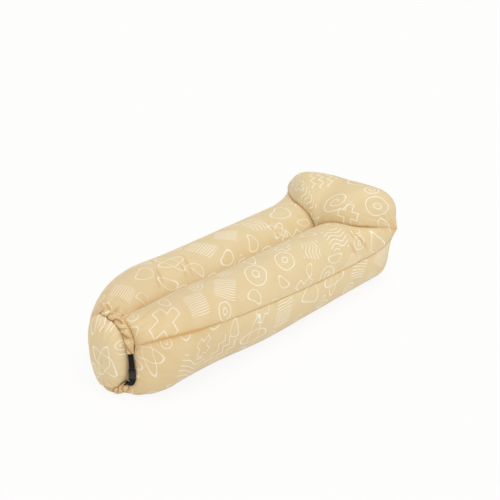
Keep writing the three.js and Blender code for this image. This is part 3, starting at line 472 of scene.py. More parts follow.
    def seam_half_width_at(self, x: Array, side: Array) -> Array:
        """Half width over the side seams."""
        body = mix(self.seam_half_width, self.seam_half_width_foot, self.taper_share(x))
        return body + self.flare_width * self.flare_share(x, side)

    def floor_half_width_at(self, x: Array) -> Array:
        """Half width of the base."""
        return mix(self.floor_half_width, self.floor_half_width_foot, self.rise_share(x))

    def crease_x(self, y: Array) -> Array:
        """Where the crease before the headrest lies along the length.

        Args:
            y: places across.

        Returns:
            Places along the length.
        """
        share = np.minimum(1, np.abs(y) / self.ear_half_width)
        lean = self.crease_lean * (y / self.ear_half_width) * (1 - share)
        return mix(self.rear_x - self.crease_setback, self.ear_x, share**self.crease_power) + lean

    def ear_point(self, side: Array) -> Array:
        """The tip of an ear."""
        tip = np.asarray(side) * (self.ear_half_width + self.ear_tip)
        return points_of(self.ear_x, tip, self.ear_height(side))

    def across(self, column: Array) -> Array:
        """Where a column lies on a panel that runs right across, from -1 at the left to 1."""
        return 2 * column / self.floor_columns - 1

    def from_ear(self, column: Array) -> Array:
        """Columns from the nearer ear."""
        return np.minimum(column, self.floor_columns - column)

    # Edges and panels

    def rear_edge(self, side: Array, share: Array) -> Array:
        """The edge between a side panel and the rear panel, from the floor up to the ear.

        Args:
            side: -1 for the left side and 1 for the right.
            share: shares of the way up.

        Returns:
            The points, in millimetres.
        """
        side = np.asarray(side) + 0 * share
        half_width = by_side(side, self.rear_edge_half_widths)
        level = self.ear_height(side) * self.rear_edge_level
        corners = [
            points_of(self.rear_x, side * self.floor_half_width_rear, 0),
            points_of(self.rear_x, side * (2 * half_width - self.floor_half_width_rear), 0),
            points_of((self.rear_x + self.ear_x) / 2, side * half_width, level),
            self.ear_point(side),
        ]
        return bezier(share3(share), corners)

    def eased(self, points: Array) -> Array:
        """The points with the two sharp corners at the rear of the floor drawn in."""
        for sign in (-1, 1):
            corner = np.array([self.rear_x, sign * self.floor_half_width_rear, 0])
            give = np.array([self.corner_give / 2, sign * self.corner_give, 0])
            pull = bell(np.linalg.norm(points - corner, axis=-1), self.corner_reach)
            points = points - share3(pull) * give
        return points

    def side_panel(self, row: Array, column: Array, side: int) -> Array:
        """A side panel: an arc that leaves the floor flat and ends on the side seam.

        Args:
            row: rows from the mouth.
            column: columns from the floor.
            side: -1 for the left side and 1 for the right.

        Returns:
            The points, in millimetres.
        """
        share = column / self.side_columns
        at = self.stations(row)
        angle = mix(self.floor_ring_angle, self.seam_ring_angle, share)
        lip = self.mouth.body_lip(self.ring_angle(angle, side))
        shoulder = mix(self.shoulder_floor, self.side_shoulder(side), np.sin(share * math.pi / 2))
        rear_edge = self.rear_edge(side, share)
        x = self.station_x(at, lip[..., 0], shoulder, rear_edge[..., 0])
        edge = self.floor_half_width_at(x)
        run, rise = np.abs(self.seam_half_width_at(x, side) - edge), self.seam_height_at(x, side)
        radius = (run * run + rise * rise) / (2 * rise)
        turn = np.arctan2(run, radius - rise) * share
        out = edge + radius * np.sin(turn)
        free = points_of(x, self.centre_at(x) + side * out, radius * (1 - np.cos(turn)))
        held = mix(free, with_x(lip, x), share3(at.foot_hold))
        return mix(held, with_x(rear_edge, x), share3(at.rear_hold))

    def tube_section(
        self,
        share: Array,
        seam_height: Array,
        half_width: Array,
        spacing: Array,
        axis_height: Array,
        crest_height: Array,
        valley_height: Array,
    ) -> tuple[Array, Array]:
        """A tube's section, from the side seam over the crest down to the valley.

        Args:
            share: shares of the way from the seam to the valley.
            seam_height: height of the side seam.
            half_width: how far the seam is from the middle line.
            spacing: how far the crest is from the middle line.
            axis_height: height of the tube's axis.
            crest_height: height of the crest.
            valley_height: height of the valley.

        Returns:
            Places across, and heights.
        """
        rise = crest_height - axis_height
        first = np.arcsin((seam_height - axis_height) / rise)
        last = math.pi - np.arcsin((valley_height - axis_height) / rise)
        turn = mix(first, last, share)
        outer, inner = (half_width - spacing) / np.cos(first), -spacing / np.cos(last)
        reach = np.where(turn < math.pi / 2, outer, inner)
        return spacing + reach * np.cos(turn), axis_height + rise * np.sin(turn)

    def tube_top(self, row: Array, column: Array, side: Array) -> Array:
        """A tube's top panel, from the side seam over the crest down to the valley.

        Args:
            row: rows from the mouth.
            column: columns from the side seam.
            side: -1 for the left side and 1 for the right.

        Returns:
            The points, in millimetres.
        """
        share = column / self.top_columns
        at = self.stations(row)
        angle = mix(self.seam_ring_angle, 90, share)
        lip = self.mouth.body_lip(self.ring_angle(angle, side))
        shoulder = mix(self.side_shoulder(side), self.shoulder_top, np.sin(share * math.pi / 2))
        ear_height = self.ear_height(side)
        crease_crest = by_side(side, self.crease_crests)
        crease_y, _ = self.tube_section(
            share,
            ear_height,
            self.ear_half_width,
            self.crest_spacing,
            self.crease_axis_height,
            crease_crest,
            self.valley_height,
        )
        x = self.station_x(at, lip[..., 0], shoulder, self.crease_x(side * crease_y))
        rise = self.rise_share(x)
        axis = self.axis_height + self.axis_rise_foot * rise
        crest = self.crest_height + self.crest_rise_foot * rise
        crest = crest - self.crest_drop_head * smooth(x, 0, self.ear_x)
        out, height = self.tube_section(
            share,
            mix(self.seam_height_at(x, side), ear_height, at.rear_hold),
            mix(self.seam_half_width_at(x, side), self.ear_half_width, at.rear_hold),
            mix(self.crest_spacing, self.crest_spacing_foot, self.taper_share(x)),
            mix(axis, self.crease_axis_height, at.rear_hold),
            mix(crest, crease_crest, at.rear_hold),
            self.valley_height + self.valley_rise_foot * rise,
        )
        tip = self.ear_tip * at.rear_hold * np.clip(1 - column, 0, 1) ** 2
        free = points_of(x, self.centre_at(x) + side * (out + tip), height)
        return mix(free, with_x(lip, x), share3(at.foot_hold))

    def base(self, row: Array, column: Array) -> Array:
        """The flat base.

        Args:
            row: rows from the mouth.
            column: columns from the left.

        Returns:
            The points, in millimetres.
        """
        across = self.across(column)
        at = self.stations(row)
        angle = mix(-90, self.floor_ring_angle, np.abs(across))
        lip = self.mouth.body_lip(self.ring_angle(angle, across))
        x = self.station_x(at, lip[..., 0], self.shoulder_floor, self.rear_x)
        half_width = mix(self.floor_half_width_at(x), self.floor_half_width_rear, at.rear_hold)
        free = points_of(x, self.centre_at(x) + across * half_width, 0)
        return mix(free, with_x(lip, x), share3(at.foot_hold))

    def headrest_seam(self, column: Array) -> Array:
        """The seam between the headrest and the rear panel.

        Args:
            column: columns from the left ear.

        Returns:
            The points, in millimetres.
        """
        across = self.across(column)
        turn = np.abs(across) * math.pi / 2
        power = 2 / by_side(across, self.headrest_corner_powers)
        half_width = by_side(across, self.headrest_half_widths)
        tip = self.ear_half_width + self.ear_tip - half_width
        tip = tip * np.clip(1 - self.from_ear(column), 0, 1) ** 2
        width = np.sign(across) * (np.sin(turn) ** power * half_width + tip)
        ear_height = self.ear_height(across)
        height = np.maximum(np.cos(turn), 0) ** power * (self.headrest_height - ear_height)
        lean = -self.headrest_lean * across * (1 - across**4)
        x = mix(self.rear_x - self.headrest_rear_setback, self.ear_x, across**4)
        return points_of(x, width, ear_height + height + lean)

    def crease(self, column: Array) -> Array:
        """The crease between the tubes and the headrest."""
        side = np.where(column <= self.top_columns, -1, 1)
        return self.tube_top(self.rows + 0 * column, self.from_ear(column), side)

    def headrest(self, row: Array, column: Array) -> Array:
        """The headrest, from the crease over the pillow to its rear seam.

        Args:
            row: rows from the crease.
            column: columns from the left ear.

        Returns:
            The points, in millimetres.
        """
        share = row / self.headrest_rows
        front, rear = self.crease(column), self.headrest_seam(column)
        across = self.across(column)
        chord = rear - front
        up = unit(points_of(-chord[..., 2], 0 * across, chord[..., 0]))
        crown = self.headrest_crown * (1 - np.abs(across) ** self.headrest_crown_power)
        blend = (1 - np.cos(share * math.pi)) / 2
        return mix(front, rear, share3(blend)) + up * share3(crown * np.sin(share * math.pi))

    def rear_panel(self, row: Array, column: Array) -> Array:
        """The rear panel: a blend of its four edges, bulged outwards.

        Args:
            row: rows from the floor.
            column: columns from the left.

        Returns:
            The points, in millimetres.
        """
        v, u = row / self.side_columns, column / self.floor_columns
        low, high = self.base(self.rows + 0 * column, column), self.headrest_seam(column)
        zero, last = 0 * column, self.floor_columns + 0 * column
        low_left, low_right = self.base(self.rows + zero, zero), self.base(self.rows + zero, last)
        across = mix(self.rear_edge(-1, v), self.rear_edge(1, v), share3(u))
        corners = mix(
            mix(low_left, low_right, share3(u)),
            mix(self.ear_point(-1 + zero), self.ear_point(1 + zero), share3(u)),
            share3(v),
        )
        bulge = self.rear_bulge * np.sin(v * math.pi) * np.sin(u * math.pi)
        return mix(low, high, share3(v)) + across - corners + points_of(bulge, 0 * u, 0 * u)

    def dome(self, row: Array, degrees: Array) -> Array:
        """The part of the bag that swells out through the mouth, round the front of the roll.

        Args:
            row: rows from the roll.
            degrees: angles round the mouth.

        Returns:
            The points, in millimetres.
        """
        far = ((1 - np.cos(np.radians(degrees))) / 2) ** self.dome_far_power
        wrap = np.minimum(1, row / self.dome_wrap_rows)
        turn = self.mouth.dome_lip_turn(degrees)
        turn = turn + wrap * (self.dome_wrap + self.dome_wrap_far * far)
        reach = self.mouth.lip_reach + self.dome_overhang * far * wrap**2
        edge = self.mouth.beside(degrees, turn, reach)
        rise = np.clip((row - self.dome_wrap_rows) / self.dome_cap_rows, 0, 1) * math.pi / 2
        spread = np.maximum(np.cos(rise), 0) ** (1 / self.dome_fullness)
        return points_of(
            mix(edge[..., 0], self.foot_end_x, np.sin(rise)),
            mix(-self.mouth.drift, edge[..., 1], spread),
            mix(self.mouth.middle, edge[..., 2], spread),
        )


# Shader maths


Value = Union["Wire", float, int]


class Wire:
    """A value in a material's node tree; the operators add Math nodes."""

    def __init__(self, recipe: "Recipe", socket: Any) -> None:
        """Wraps an output socket of the recipe's tree."""
        self.recipe = recipe
        self.socket = socket

    def applied(self, operation: str, *others: Value) -> "Wire":
        """A Math node with this value first."""
        return self.recipe.maths(operation, self, *others)

    def reflected(self, operation: str, other: Value) -> "Wire":
        """A Math node with this value last."""
        return self.recipe.maths(operation, other, self)

    __add__ = __radd__ = partialmethod(applied, "ADD")
    __mul__ = __rmul__ = partialmethod(applied, "MULTIPLY")
    __sub__ = partialmethod(applied, "SUBTRACT")
    __rsub__ = partialmethod(reflected, "SUBTRACT")
    __truediv__ = partialmethod(applied, "DIVIDE")
    __rtruediv__ = partialmethod(reflected, "DIVIDE")
    __pow__ = partialmethod(applied, "POWER")
    __abs__ = partialmethod(applied, "ABSOLUTE")
    __gt__ = partialmethod(applied, "GREATER_THAN")
    sin = partialmethod(applied, "SINE")
    cos = partialmethod(applied, "COSINE")
    fract = partialmethod(applied, "FRACT")
    floor = partialmethod(applied, "FLOOR")
    least = partialmethod(applied, "MINIMUM")
    most = partialmethod(applied, "MAXIMUM")
    angle_to = partialmethod(applied, "ARCTAN2")
    below = partialmethod(applied, "LESS_THAN")

    def step(self, low: float, high: float) -> "Wire":
        """A soft step from 0 at low to 1 at high; falls where low is above high."""
        return self.recipe.ranged(self, low, high)


class Recipe:
    """The node tree of a material or a world, built from Python expressions."""

    def __init__(self, name: str, world: bool = False) -> None:
        """Starts an empty material, or an empty world, with its output.

        Args:
            name: the material's or the world's name.
            world: whether it is a world.
        """
        self.owner = (bpy.data.worlds if world else bpy.data.materials).new(name)
        self.owner.use_nodes = True
        self.tree = self.owner.node_tree
        self.tree.nodes.clear()
        self.output = self.node(f"ShaderNodeOutput{'World' if world else 'Material'}")

    def node(self, kind: str, settings: dict[str, Any] | None = None, **inputs: Any) -> Any:
        """Adds a node.

        Args:
            kind: the node's type.
            settings: its own settings, such as a Math node's operation, which are set first.
            inputs: values or wires by socket name, with underscores for spaces, or i and a number.

        Returns:
            The new node.
        """
        made = self.tree.nodes.new(kind)
        for key, value in (settings or {}).items():
            setattr(made, key, value)
        for key, value in inputs.items():
            place = int(key[1:]) if key[1:].isdigit() else key.replace("_", " ")
            self.feed(made.inputs[place], value)
        return made

    def feed(self, socket: Any, value: Any) -> None:
        """Links a wire or an output to a socket, or sets the socket's own value."""
        value = value.socket if isinstance(value, Wire) else value
        if isinstance(value, bpy.types.NodeSocket):
            self.tree.links.new(value, socket)
        elif isinstance(value, tuple) and len(value) == 3 and socket.type == "RGBA":
            socket.default_value = (*value, 1)
        else:
            socket.default_value = value

    def maths(self, operation: str, *values: Value) -> Wire:
        """A Math node.

        Args:
            operation: what the node does.
            values: its inputs, in order.

        Returns:
            The node's result.
        """
        inputs = {f"i{index}": value for index, value in enumerate(values)}
        made = self.node("ShaderNodeMath", {"operation": operation}, **inputs)
        return Wire(self, made.outputs[0])

    def ranged(self, value: Wire, low: float, high: float) -> Wire:
        """A soft step of a value between two numbers.

        Args:
            value: what is stepped.
            low: the value that gives 0.
            high: the value that gives 1.

        Returns:
            The step.
        """
        settings = {"interpolation_type": "SMOOTHSTEP", "clamp": True}
        made = self.node("ShaderNodeMapRange", settings, Value=value, From_Min=low, From_Max=high)
        return Wire(self, made.outputs[0])

    def blend(self, share: Value, first: Any, second: Any) -> Any:
        """A mix of two colours, as an output socket."""
        made = self.node("ShaderNodeMix", {"data_type": "RGBA"}, i0=share, i6=first, i7=second)
        return made.outputs[2]

    def vector_maths(self, operation: str, vector: Any, other: tuple[float, float, float]) -> Any:
        """A vector changed by three numbers, as an output socket."""
        made = self.node("ShaderNodeVectorMath", {"operation": operation}, i0=vector, i1=other)
        return made.outputs[0]

    def axes(self, vector: Any) -> tuple[Wire, Wire, Wire]:
        """The three parts of a vector."""
        made = self.node("ShaderNodeSeparateXYZ", None, Vector=vector)
        return tuple(Wire(self, socket) for socket in made.outputs)

    def vector(self, x: Value, y: Value, z: Value = 0.0) -> Any:
        """A vector of three values, as an output socket."""
        return self.node("ShaderNodeCombineXYZ", None, X=x, Y=y, Z=z).outputs[0]

    def noise(self, vector: Any, scale: float, detail: float = 2.0, flat: bool = False) -> Wire:
        """Smooth noise between 0 and 1.

        Args:
            vector: where the noise is read.
            scale: how many lumps there are to a unit.
            detail: how many finer layers lie on it.
            flat: whether only the vector's first two parts count.

        Returns:
            The noise.
        """
        settings = {"noise_dimensions": "2D" if flat else "3D"}
        made = self.node("ShaderNodeTexNoise", settings, Vector=vector, Scale=scale, Detail=detail)
        return Wire(self, made.outputs["Fac"])

    def chance(self, vector: Any) -> tuple[Wire, Wire, Wire]:
        """Three random numbers for each whole-number place."""
        made = self.node("ShaderNodeTexWhiteNoise", {"noise_dimensions": "3D"}, Vector=vector)
        return self.axes(made.outputs["Color"])

    def places(self) -> Any:
        """Object coordinates, in metres."""
        return self.node("ShaderNodeTexCoord").outputs["Object"]

    def cloth_places(self) -> Any:
        """The piece's own UV map, in metres of cloth."""
        return self.node("ShaderNodeUVMap", {"uv_map": "UVMap"}).outputs["UV"]

    def bump(self, height: Value, depth: float, strength: float = 1.0, under: Any = None) -> Any:
        """A Bump node's normal, over another normal where one is given.

        Args:
            height: the relief.
            depth: its depth in metres.
            strength: how much of it shows.
            under: the normal that it lies on.

        Returns:
            The new normal.
        """
        made = self.node("ShaderNodeBump", None, Strength=strength, Distance=depth, Height=height)
        if under is not None:
            self.feed(made.inputs["Normal"], under)
        return made.outputs["Normal"]

    def surface(self, **inputs: Any) -> bpy.types.Material:
        """Finishes the material with a Principled shader."""
        return self.shown(self.node("ShaderNodeBsdfPrincipled", None, **inputs))

    def shown(self, shader: Any) -> Any:
        """Links a shader's node to the output and gives back the material or world."""
        self.feed(self.output.inputs["Surface"], shader.outputs[0])
        return self.owner


def srgb(red: int, green: int, blue: int) -> Colour:
    """A colour given as it is seen on a screen, made linear."""

    def linear(level: int) -> float:
        """One part of the colour, made linear."""
        value = level / 255
        return value / 12.92 if value <= 0.04045 else ((value + 0.055) / 1.055) ** 2.4

    return (linear(red), linear(green), linear(blue))


# Finishes


class Motif(Enum):
    """The outlined shapes of the print."""

    RINGS = "rings"
    WAVES = "waves"
    DIAMONDS = "diamonds"
    COMB = "comb"
    CROSS = "cross"
    SPIRAL = "spiral"
    PEBBLE = "pebble"
    ZIGZAG = "zigzag"
    LOOPS = "loops"


# Past every random number, and the step to another place's random numbers or noise
CHANCE_GAP = 1e-6
ELSEWHERE = (17.0, 5.0)
FAR_AWAY = 31.0


def ruled(value: Wire, spread: float) -> Wire:
    """Distance to lines midway between the whole numbers, scaled by a spread."""
    return abs(value.fract() - 0.5) * spread


@dataclass(frozen=True)
class Layer:
    """One layer of a print: a grid of cells with a loosely drawn shape in each."""

    cell: float
    motifs: tuple[Motif, ...]
    shift: tuple[float, float] = (0.0, 0.0)
    line: float = 0.0046
    jitter: float = 0.1
    hand: float = 0.08
    growth: float = 0.3
    fill: float = 1.12
    share: float = 1.0
    stagger: float = 0.37
    sway_pace: float = 2.7
    line_edges: tuple[float, float] = (1.4, 0.6)

    def mask(self, recipe: Recipe, cloth: Any) -> Wire:
        """The share of printed line at each place.

        Args:
            recipe: the material that gets the pattern.
            cloth: coordinates on the cloth, in metres.

        Returns:
            A wire that is 1 on a line and 0 off it.
        """
        u, v, _ = recipe.axes(cloth)
        row = (v + self.shift[1]) / self.cell
        column = (u + self.shift[0]) / self.cell + row.floor() * self.stagger
        first, second = column.floor(), row.floor()
        kind, turn, size = recipe.chance(recipe.vector(first, second))
        away, aside, _ = recipe.chance(recipe.vector(first + ELSEWHERE[0], second + ELSEWHERE[1]))
        pace_u, pace_v = column * self.sway_pace, row * self.sway_pace
        sway, sway_v = (
            recipe.noise(recipe.vector(pace_u + start, pace_v), 1.0, 1.0, True) - 0.5
            for start in (0.0, FAR_AWAY)
        )
        x = column.fract() - 0.5 - (away - 0.5) * self.jitter + sway * self.hand
        y = row.fract() - 0.5 - (aside - 0.5) * self.jitter + sway_v * self.hand
        spin = turn * FULL_TURN
        sine, cosine = spin.sin(), spin.cos()
        scale = 1.0 / (size * self.growth + self.fill - self.growth / 2)
        p = (x * cosine - y * sine) * scale
        q = (x * sine + y * cosine) * scale
        radius = (p * p + q * q) ** 0.5
        half = self.line / self.cell / 2
        total: Value = 0.0
        for index, motif in enumerate(self.motifs):
            low, high = (self.share * (index + more) / len(self.motifs) for more in (0, 1))
            chosen = (kind > low) * kind.below(high + CHANCE_GAP)
            distance = getattr(self, motif.value)(p, q, radius)
            total = chosen * distance.step(*(half * edge for edge in self.line_edges)) + total
        return total

    def rings(self, p: Wire, q: Wire, radius: Wire) -> Wire:
        """Distance to rings round one middle."""
        return ruled(radius / 0.17, 0.17) + (radius > 0.34)

    def waves(self, p: Wire, q: Wire, radius: Wire) -> Wire:
        """Distance to a few wavy lines side by side."""
        swung = q + (p * 15.0).sin() * 0.04
        return ruled(swung / 0.11, 0.11) + (abs(p).most(abs(q)) > 0.275)

    def comb(self, p: Wire, q: Wire, radius: Wire) -> Wire:
        """Distance to a block of fine lines."""
        beyond = (abs(p) > 0.2 + self.hand / 2).most(abs(q) > 0.24)
        return ruled(p / 0.052 + q * 0.8, 0.052) + self.line / self.cell / 6 + beyond

    def diamonds(self, p: Wire, q: Wire, radius: Wire) -> Wire:
        """Distance to diamonds inside each other."""
        reach = abs(p) * 1.45 + abs(q)
        return ruled(reach / 0.22, 0.17) + (reach > 0.46)

    def cross(self, p: Wire, q: Wire, radius: Wire) -> Wire:
        """Distance to the outline of a plump cross."""
        across, up = abs(p), abs(q)
        return abs((across.least(up) - 0.12).most(across.most(up) - 0.34))

    def spiral(self, p: Wire, q: Wire, radius: Wire) -> Wire:
        """Distance to a spiral of about two turns."""
        turned = q.angle_to(p) / FULL_TURN
        return ruled(radius / 0.15 - turned, 0.15) + (radius > 0.33)

    def pebble(self, p: Wire, q: Wire, radius: Wire) -> Wire:
        """Distance to the outline of a long pebble."""
        bend = q + p * p * 0.9 - 0.05
        return abs((p * p * 0.42 + bend * bend * 1.5) ** 0.5 - 0.215)

    def zigzag(self, p: Wire, q: Wire, radius: Wire) -> Wire:
        """Distance to a few zigzag lines."""
        tooth = ruled(p / 0.2, 0.24)
        return ruled((q + tooth) / 0.2, 0.15) + (abs(p).most(abs(q)) > 0.33)

    def loops(self, p: Wire, q: Wire, radius: Wire) -> Wire:
        """Distance to two long loops that cross.

        Args:
            p: place along the shape.
            q: place across it.
            radius: distance from its middle; not used.

        Returns:
            The distance.
        """
        first = abs((p * p * 0.3 + q * q * 2.2) ** 0.5 - 0.2)
        second = abs((p * p * 2.2 + q * q * 0.3) ** 0.5 - 0.2)
        return first.least(second)


@dataclass(frozen=True)
class LinePrint:
    """A pale line print of large, loosely drawn shapes."""

    large: Layer = Layer(
        0.215,
        (
            *(Motif.RINGS, Motif.PEBBLE, Motif.COMB, Motif.CROSS, Motif.LOOPS, Motif.DIAMONDS),
            *(Motif.SPIRAL, Motif.WAVES, Motif.PEBBLE, Motif.COMB, Motif.ZIGZAG),
        ),
    )
    between: Layer = Layer(
        0.215,
        (Motif.PEBBLE, Motif.SPIRAL, Motif.LOOPS, Motif.CROSS, Motif.PEBBLE, Motif.RINGS),
        shift=(0.068, 0.1075),
        line=0.0066,
        growth=0.24,
        fill=0.68,
        share=0.9,
    )

    def mask(self, recipe: Recipe, cloth: Any, offset: tuple[float, float]) -> Wire:
        """The share of printed line, on cloth cut so far from the print's origin."""
        cut = recipe.vector_maths("ADD", cloth, (*offset, 0.0))
        return self.large.mask(recipe, cut).most(self.between.mask(recipe, cut))


@dataclass(frozen=True)
class Cloth:
    """Satin polyester: fine plain weave, soft crumples, a print where it has one, and painted shade
    in its folds where asked.
    """

    name: str
    ground: Colour
    depth: Colour
    # Painted shade: the golden colour that folds, creases and seam grooves are darkened towards
    fold: Colour = srgb(209, 160, 88)
    line: Colour = srgb(250, 246, 234)
    offset: tuple[float, float] = (0.0, 0.0)
    pattern: LinePrint | None = LinePrint()
    folded: bool = False
    rough: float = 0.46
    thread: float = 0.0011
    ink: float = 0.86
    crumple_depth: float = 0.0022
    weave_depth: float = 0.00012

    def made(self) -> bpy.types.Material:
        """Builds the material.

        Returns:
            The new material.
        """
        recipe = Recipe(self.name)
        cloth = recipe.cloth_places()
        u, v, _ = recipe.axes(cloth)
        warp = (u * (FULL_TURN / self.thread)).sin()
        weft = (v * (FULL_TURN / self.thread)).sin()
        weave = warp * weft
        mottle = recipe.noise(cloth, 9.0, 3.0)
        crumple = recipe.noise(recipe.vector_maths("MULTIPLY", cloth, (14.0, 34.0, 1.0)), 1.0, 3.0)
        fibre = recipe.noise(recipe.vector_maths("MULTIPLY", cloth, (60.0, 900.0, 1.0)), 1.0, 2.0)
        colour = recipe.blend(mottle.step(0.3, 0.75) * 0.5, self.ground, self.depth)
        colour = recipe.blend(weave.step(-1.0, 1.0) * 0.06, colour, self.depth)
        rough = mottle * 0.1 + fibre * 0.08 + (self.rough - 0.09)
        if self.pattern:
            ink = self.pattern.mask(recipe, cloth, self.offset)
            colour = recipe.blend(ink * self.ink, colour, self.line)
            rough = rough + ink * 0.08
        # Painted shade: the colour is darkened towards the fold colour by each point's share of
        # painted shade
        if self.folded:
            folds = recipe.node("ShaderNodeAttribute", {"attribute_name": PAINTED_FOLD_SHADE}).outputs["Fac"]
            colour = recipe.blend(Wire(recipe, folds) * (mottle * 0.5 + 0.7), colour, self.fold)
        normal = recipe.bump(crumple, self.crumple_depth, 0.5)
        normal = recipe.bump(weave, self.weave_depth, 0.35, normal)
        return recipe.surface(
            Base_Color=colour,
            Roughness=rough,
            Normal=normal,
            Sheen_Weight=0.12,
            Sheen_Roughness=0.4,
            Specular_IOR_Level=0.4,
        )


@dataclass(frozen=True)
class Webbing:
    """Flat woven nylon webbing with ribs across its width."""

    name: str = "charcoal_webbing"
    ground: Colour = srgb(11, 11, 10)
    worn: Colour = srgb(30, 29, 27)
    rib: float = 0.0016

    def made(self) -> bpy.types.Material:
        """Builds the material.

        Returns:
            The new material.
        """
        recipe = Recipe(self.name)
        u, v, _ = recipe.axes(recipe.cloth_places())
        ribs = (u * (FULL_TURN / self.rib)).sin()
        threads = (v * (FULL_TURN / self.rib * 1.4)).sin()
        weave = ribs * 0.7 + threads * ribs * 0.3
        wear = recipe.noise(recipe.places(), 60.0, 3.0).step(0.45, 0.75)
        colour = recipe.blend(weave.step(-0.8, 1.0) * 0.5 + wear * 0.25, self.ground, self.worn)
        return recipe.surface(
            Base_Color=colour,
            Roughness=wear * 0.1 + 0.72,
            Normal=recipe.bump(weave, 0.0004, 0.8),
            Specular_IOR_Level=0.25,
            Sheen_Weight=0.04,
        )


@dataclass(frozen=True)
class Plastic:
    """Moulded acetal with a fine grain and rubbed edges."""

    name: str
    ground: Colour
    rubbed: Colour
    rough: float = 0.38

    def made(self) -> bpy.types.Material:
        """Builds the material.

        Returns:
            The new material.
        """
        recipe = Recipe(self.name)
        places = recipe.places()
        grain = recipe.noise(places, 1800.0, 2.0)
        smear = recipe.noise(places, 90.0, 3.0)
        edge = recipe.node("ShaderNodeNewGeometry").outputs["Pointiness"]
        edge = Wire(recipe, edge).step(0.5, 0.56)
        colour = recipe.blend(edge * 0.5 + smear.step(0.4, 0.8) * 0.25, self.ground, self.rubbed)
        return recipe.surface(
            Base_Color=colour,
            Roughness=smear * 0.16 + grain * 0.06 + (self.rough - 0.1),
            Normal=recipe.bump(grain, 0.0001, 0.5),
            Specular_IOR_Level=0.35,
        )


# Meshes


@dataclass
class ClothGrid:
    """A grid of points over a piece of cloth, in millimetres, with what was measured on it.

    Where it is known, across gives each column's share of the way over the panel.
    """

    points: Array
    outward: int
    closed: bool = False
    across: Array | None = None
    edge_hold: float = 9

    def __post_init__(self) -> None:
        """Measures the grid before it is worked on."""
        # The share of painted shade at each point
        self.fold = np.zeros(self.points.shape[:2])
        self.normals = self.facing()
        self.row_arc = self.arc(0)
        self.column_arc = self.arc(1)

    def facing(self) -> Array:
        """Outward directions at every point.

        Returns:
            Vectors of length one.
        """
        along, across = np.gradient(self.points, axis=0), np.gradient(self.points, axis=1)
        if self.closed:
            ring = self.points[:, :-1]
            turned = (np.roll(ring, -1, axis=1) - np.roll(ring, 1, axis=1)) / 2
            across = np.concatenate([turned, turned[:, :1]], axis=1)
        return unit(np.cross(along, across)) * self.outward

    def arc(self, axis: int) -> Array:
        """Length along the rows or the columns, from the first one.

        Args:
            axis: 0 to go from row to row, 1 to go from column to column.

        Returns:
            The length at every point.
        """
        steps = np.linalg.norm(np.diff(self.points, axis=axis), axis=-1)
        none = np.zeros_like(np.take(steps, [0], axis))
        return np.concatenate([none, np.cumsum(steps, axis)], axis)

    def away_from(self, edge: "Edge") -> tuple[Array, Array]:
        """How far each point is from an edge, and how far along it.

        Args:
            edge: the edge.

        Returns:
            Both lengths at every point.
        """
        axis, place = edge.value
        arcs = (self.row_arc, self.column_arc)
        arc, other = arcs[axis], arcs[1 - axis]
        away = arc if place == 0 else np.take(arc, [-1], axis) - arc
        return away, np.broadcast_to(np.take(other, [place], axis), away.shape)

    def close(self) -> None:
        """Brings the last column back onto the first one."""
        self.points[:, -1] = self.points[:, 0]
        self.fold[:, -1] = self.fold[:, 0]

    def lift(self, height: Array) -> None:
        """Moves the points outwards by so many millimetres."""
        self.points = self.points + self.normals * share3(height)

    def shade(self, share: Array) -> None:
        """Paints shade into the colour where folds lie, by a share from 0 to 1."""
        self.fold = 1 - (1 - self.fold) * (1 - np.clip(share, 0, 1))

    def tuck(self, route: Sequence[tuple[float, float]], depth: float, width: float) -> None:
        """Presses a narrow fold along a route seen from above, and paints shade into its valley.

        Args:
            route: places in x and y.
            depth: how deep the fold is.
            width: half of its width.
        """
        corners = np.array(route, dtype=float)
        numbers = range(len(corners))
        t = np.linspace(0, numbers[-1], 24)
        path = np.stack([np.interp(t, numbers, places) for places in corners.T], axis=-1)
        distances = np.linalg.norm(self.points[..., None, :2] - path, axis=-1)
        away, run = distances.min(axis=-1), distances.argmin(axis=-1) / (len(path) - 1)
        fade = np.sin(np.clip(run, 0.02, 0.98) * math.pi) ** 0.6
        valley, ridge = bell(away, width), bell(away - 2.4 * width, 1.3 * width)
        held = risen(self.row_arc, self.edge_hold)
        self.lift((ridge * 0.4 - valley) * depth * fade * held)
        # Painted shade in the fold's valley, deeper for a deeper fold
        self.shade(valley * fade * np.clip(0.35 + depth * 0.09, 0, 0.85))


class Edge(Enum):
    """The four edges of a grid, valued by the axis that leads away and the place on it."""

    FIRST_ROW = (0, 0)
    LAST_ROW = (0, -1)
    FIRST_COLUMN = (1, 0)
    LAST_COLUMN = (1, -1)


@dataclass(frozen=True)
class Seam:
    """How cloth swells and puckers beside a seam, and how much shade is painted along its groove,
    in millimetres.
    """

    plump: float = 3.0
    width: float = 9.0
    pucker: float = 1.1
    pitch: float = 17.0
    reach: float = 26.0
    seed: float = 1.0
    # Painted shade along the seam's groove: how strong it is and how wide
    tone: float = 0.5
    tone_width: float = 7.0

    def swell(self, away: Array) -> Array:
        """A share that is 0 on the seam and 1 away from it."""
        return risen(away, self.width)

    def groove(self, away: Array, along: Array) -> Array:
        """How much shade is painted on the seam and close to it."""
        uneven = 0.75 + 0.35 * speckle(along / 60, 0 * along, self.seed + 19)
        return self.tone * uneven * bell(away, self.tone_width)

    def puckers(self, away: Array, along: Array) -> Array:
        """Small folds that run away from the seam.

        Args:
            away: distances from the seam.
            along: places along it.

        Returns:
            Their heights.
        """
        drift = 0.55 * speckle(along / (2.6 * self.pitch), away / (3 * self.reach), self.seed)
        wave = np.cos(FULL_TURN * (along / self.pitch + drift))
        size = 0.62 + 0.38 * speckle(along / (1.7 * self.pitch), 0 * away, self.seed + 3)
        uneven = speckle(along / (1.3 * self.pitch), 0 * away, self.seed + 7)
        length = self.reach * (0.8 + 0.5 * uneven)
        fade = np.exp(-away / np.maximum(length, 4)) * self.swell(away)
        return self.pucker * size * wave * fade


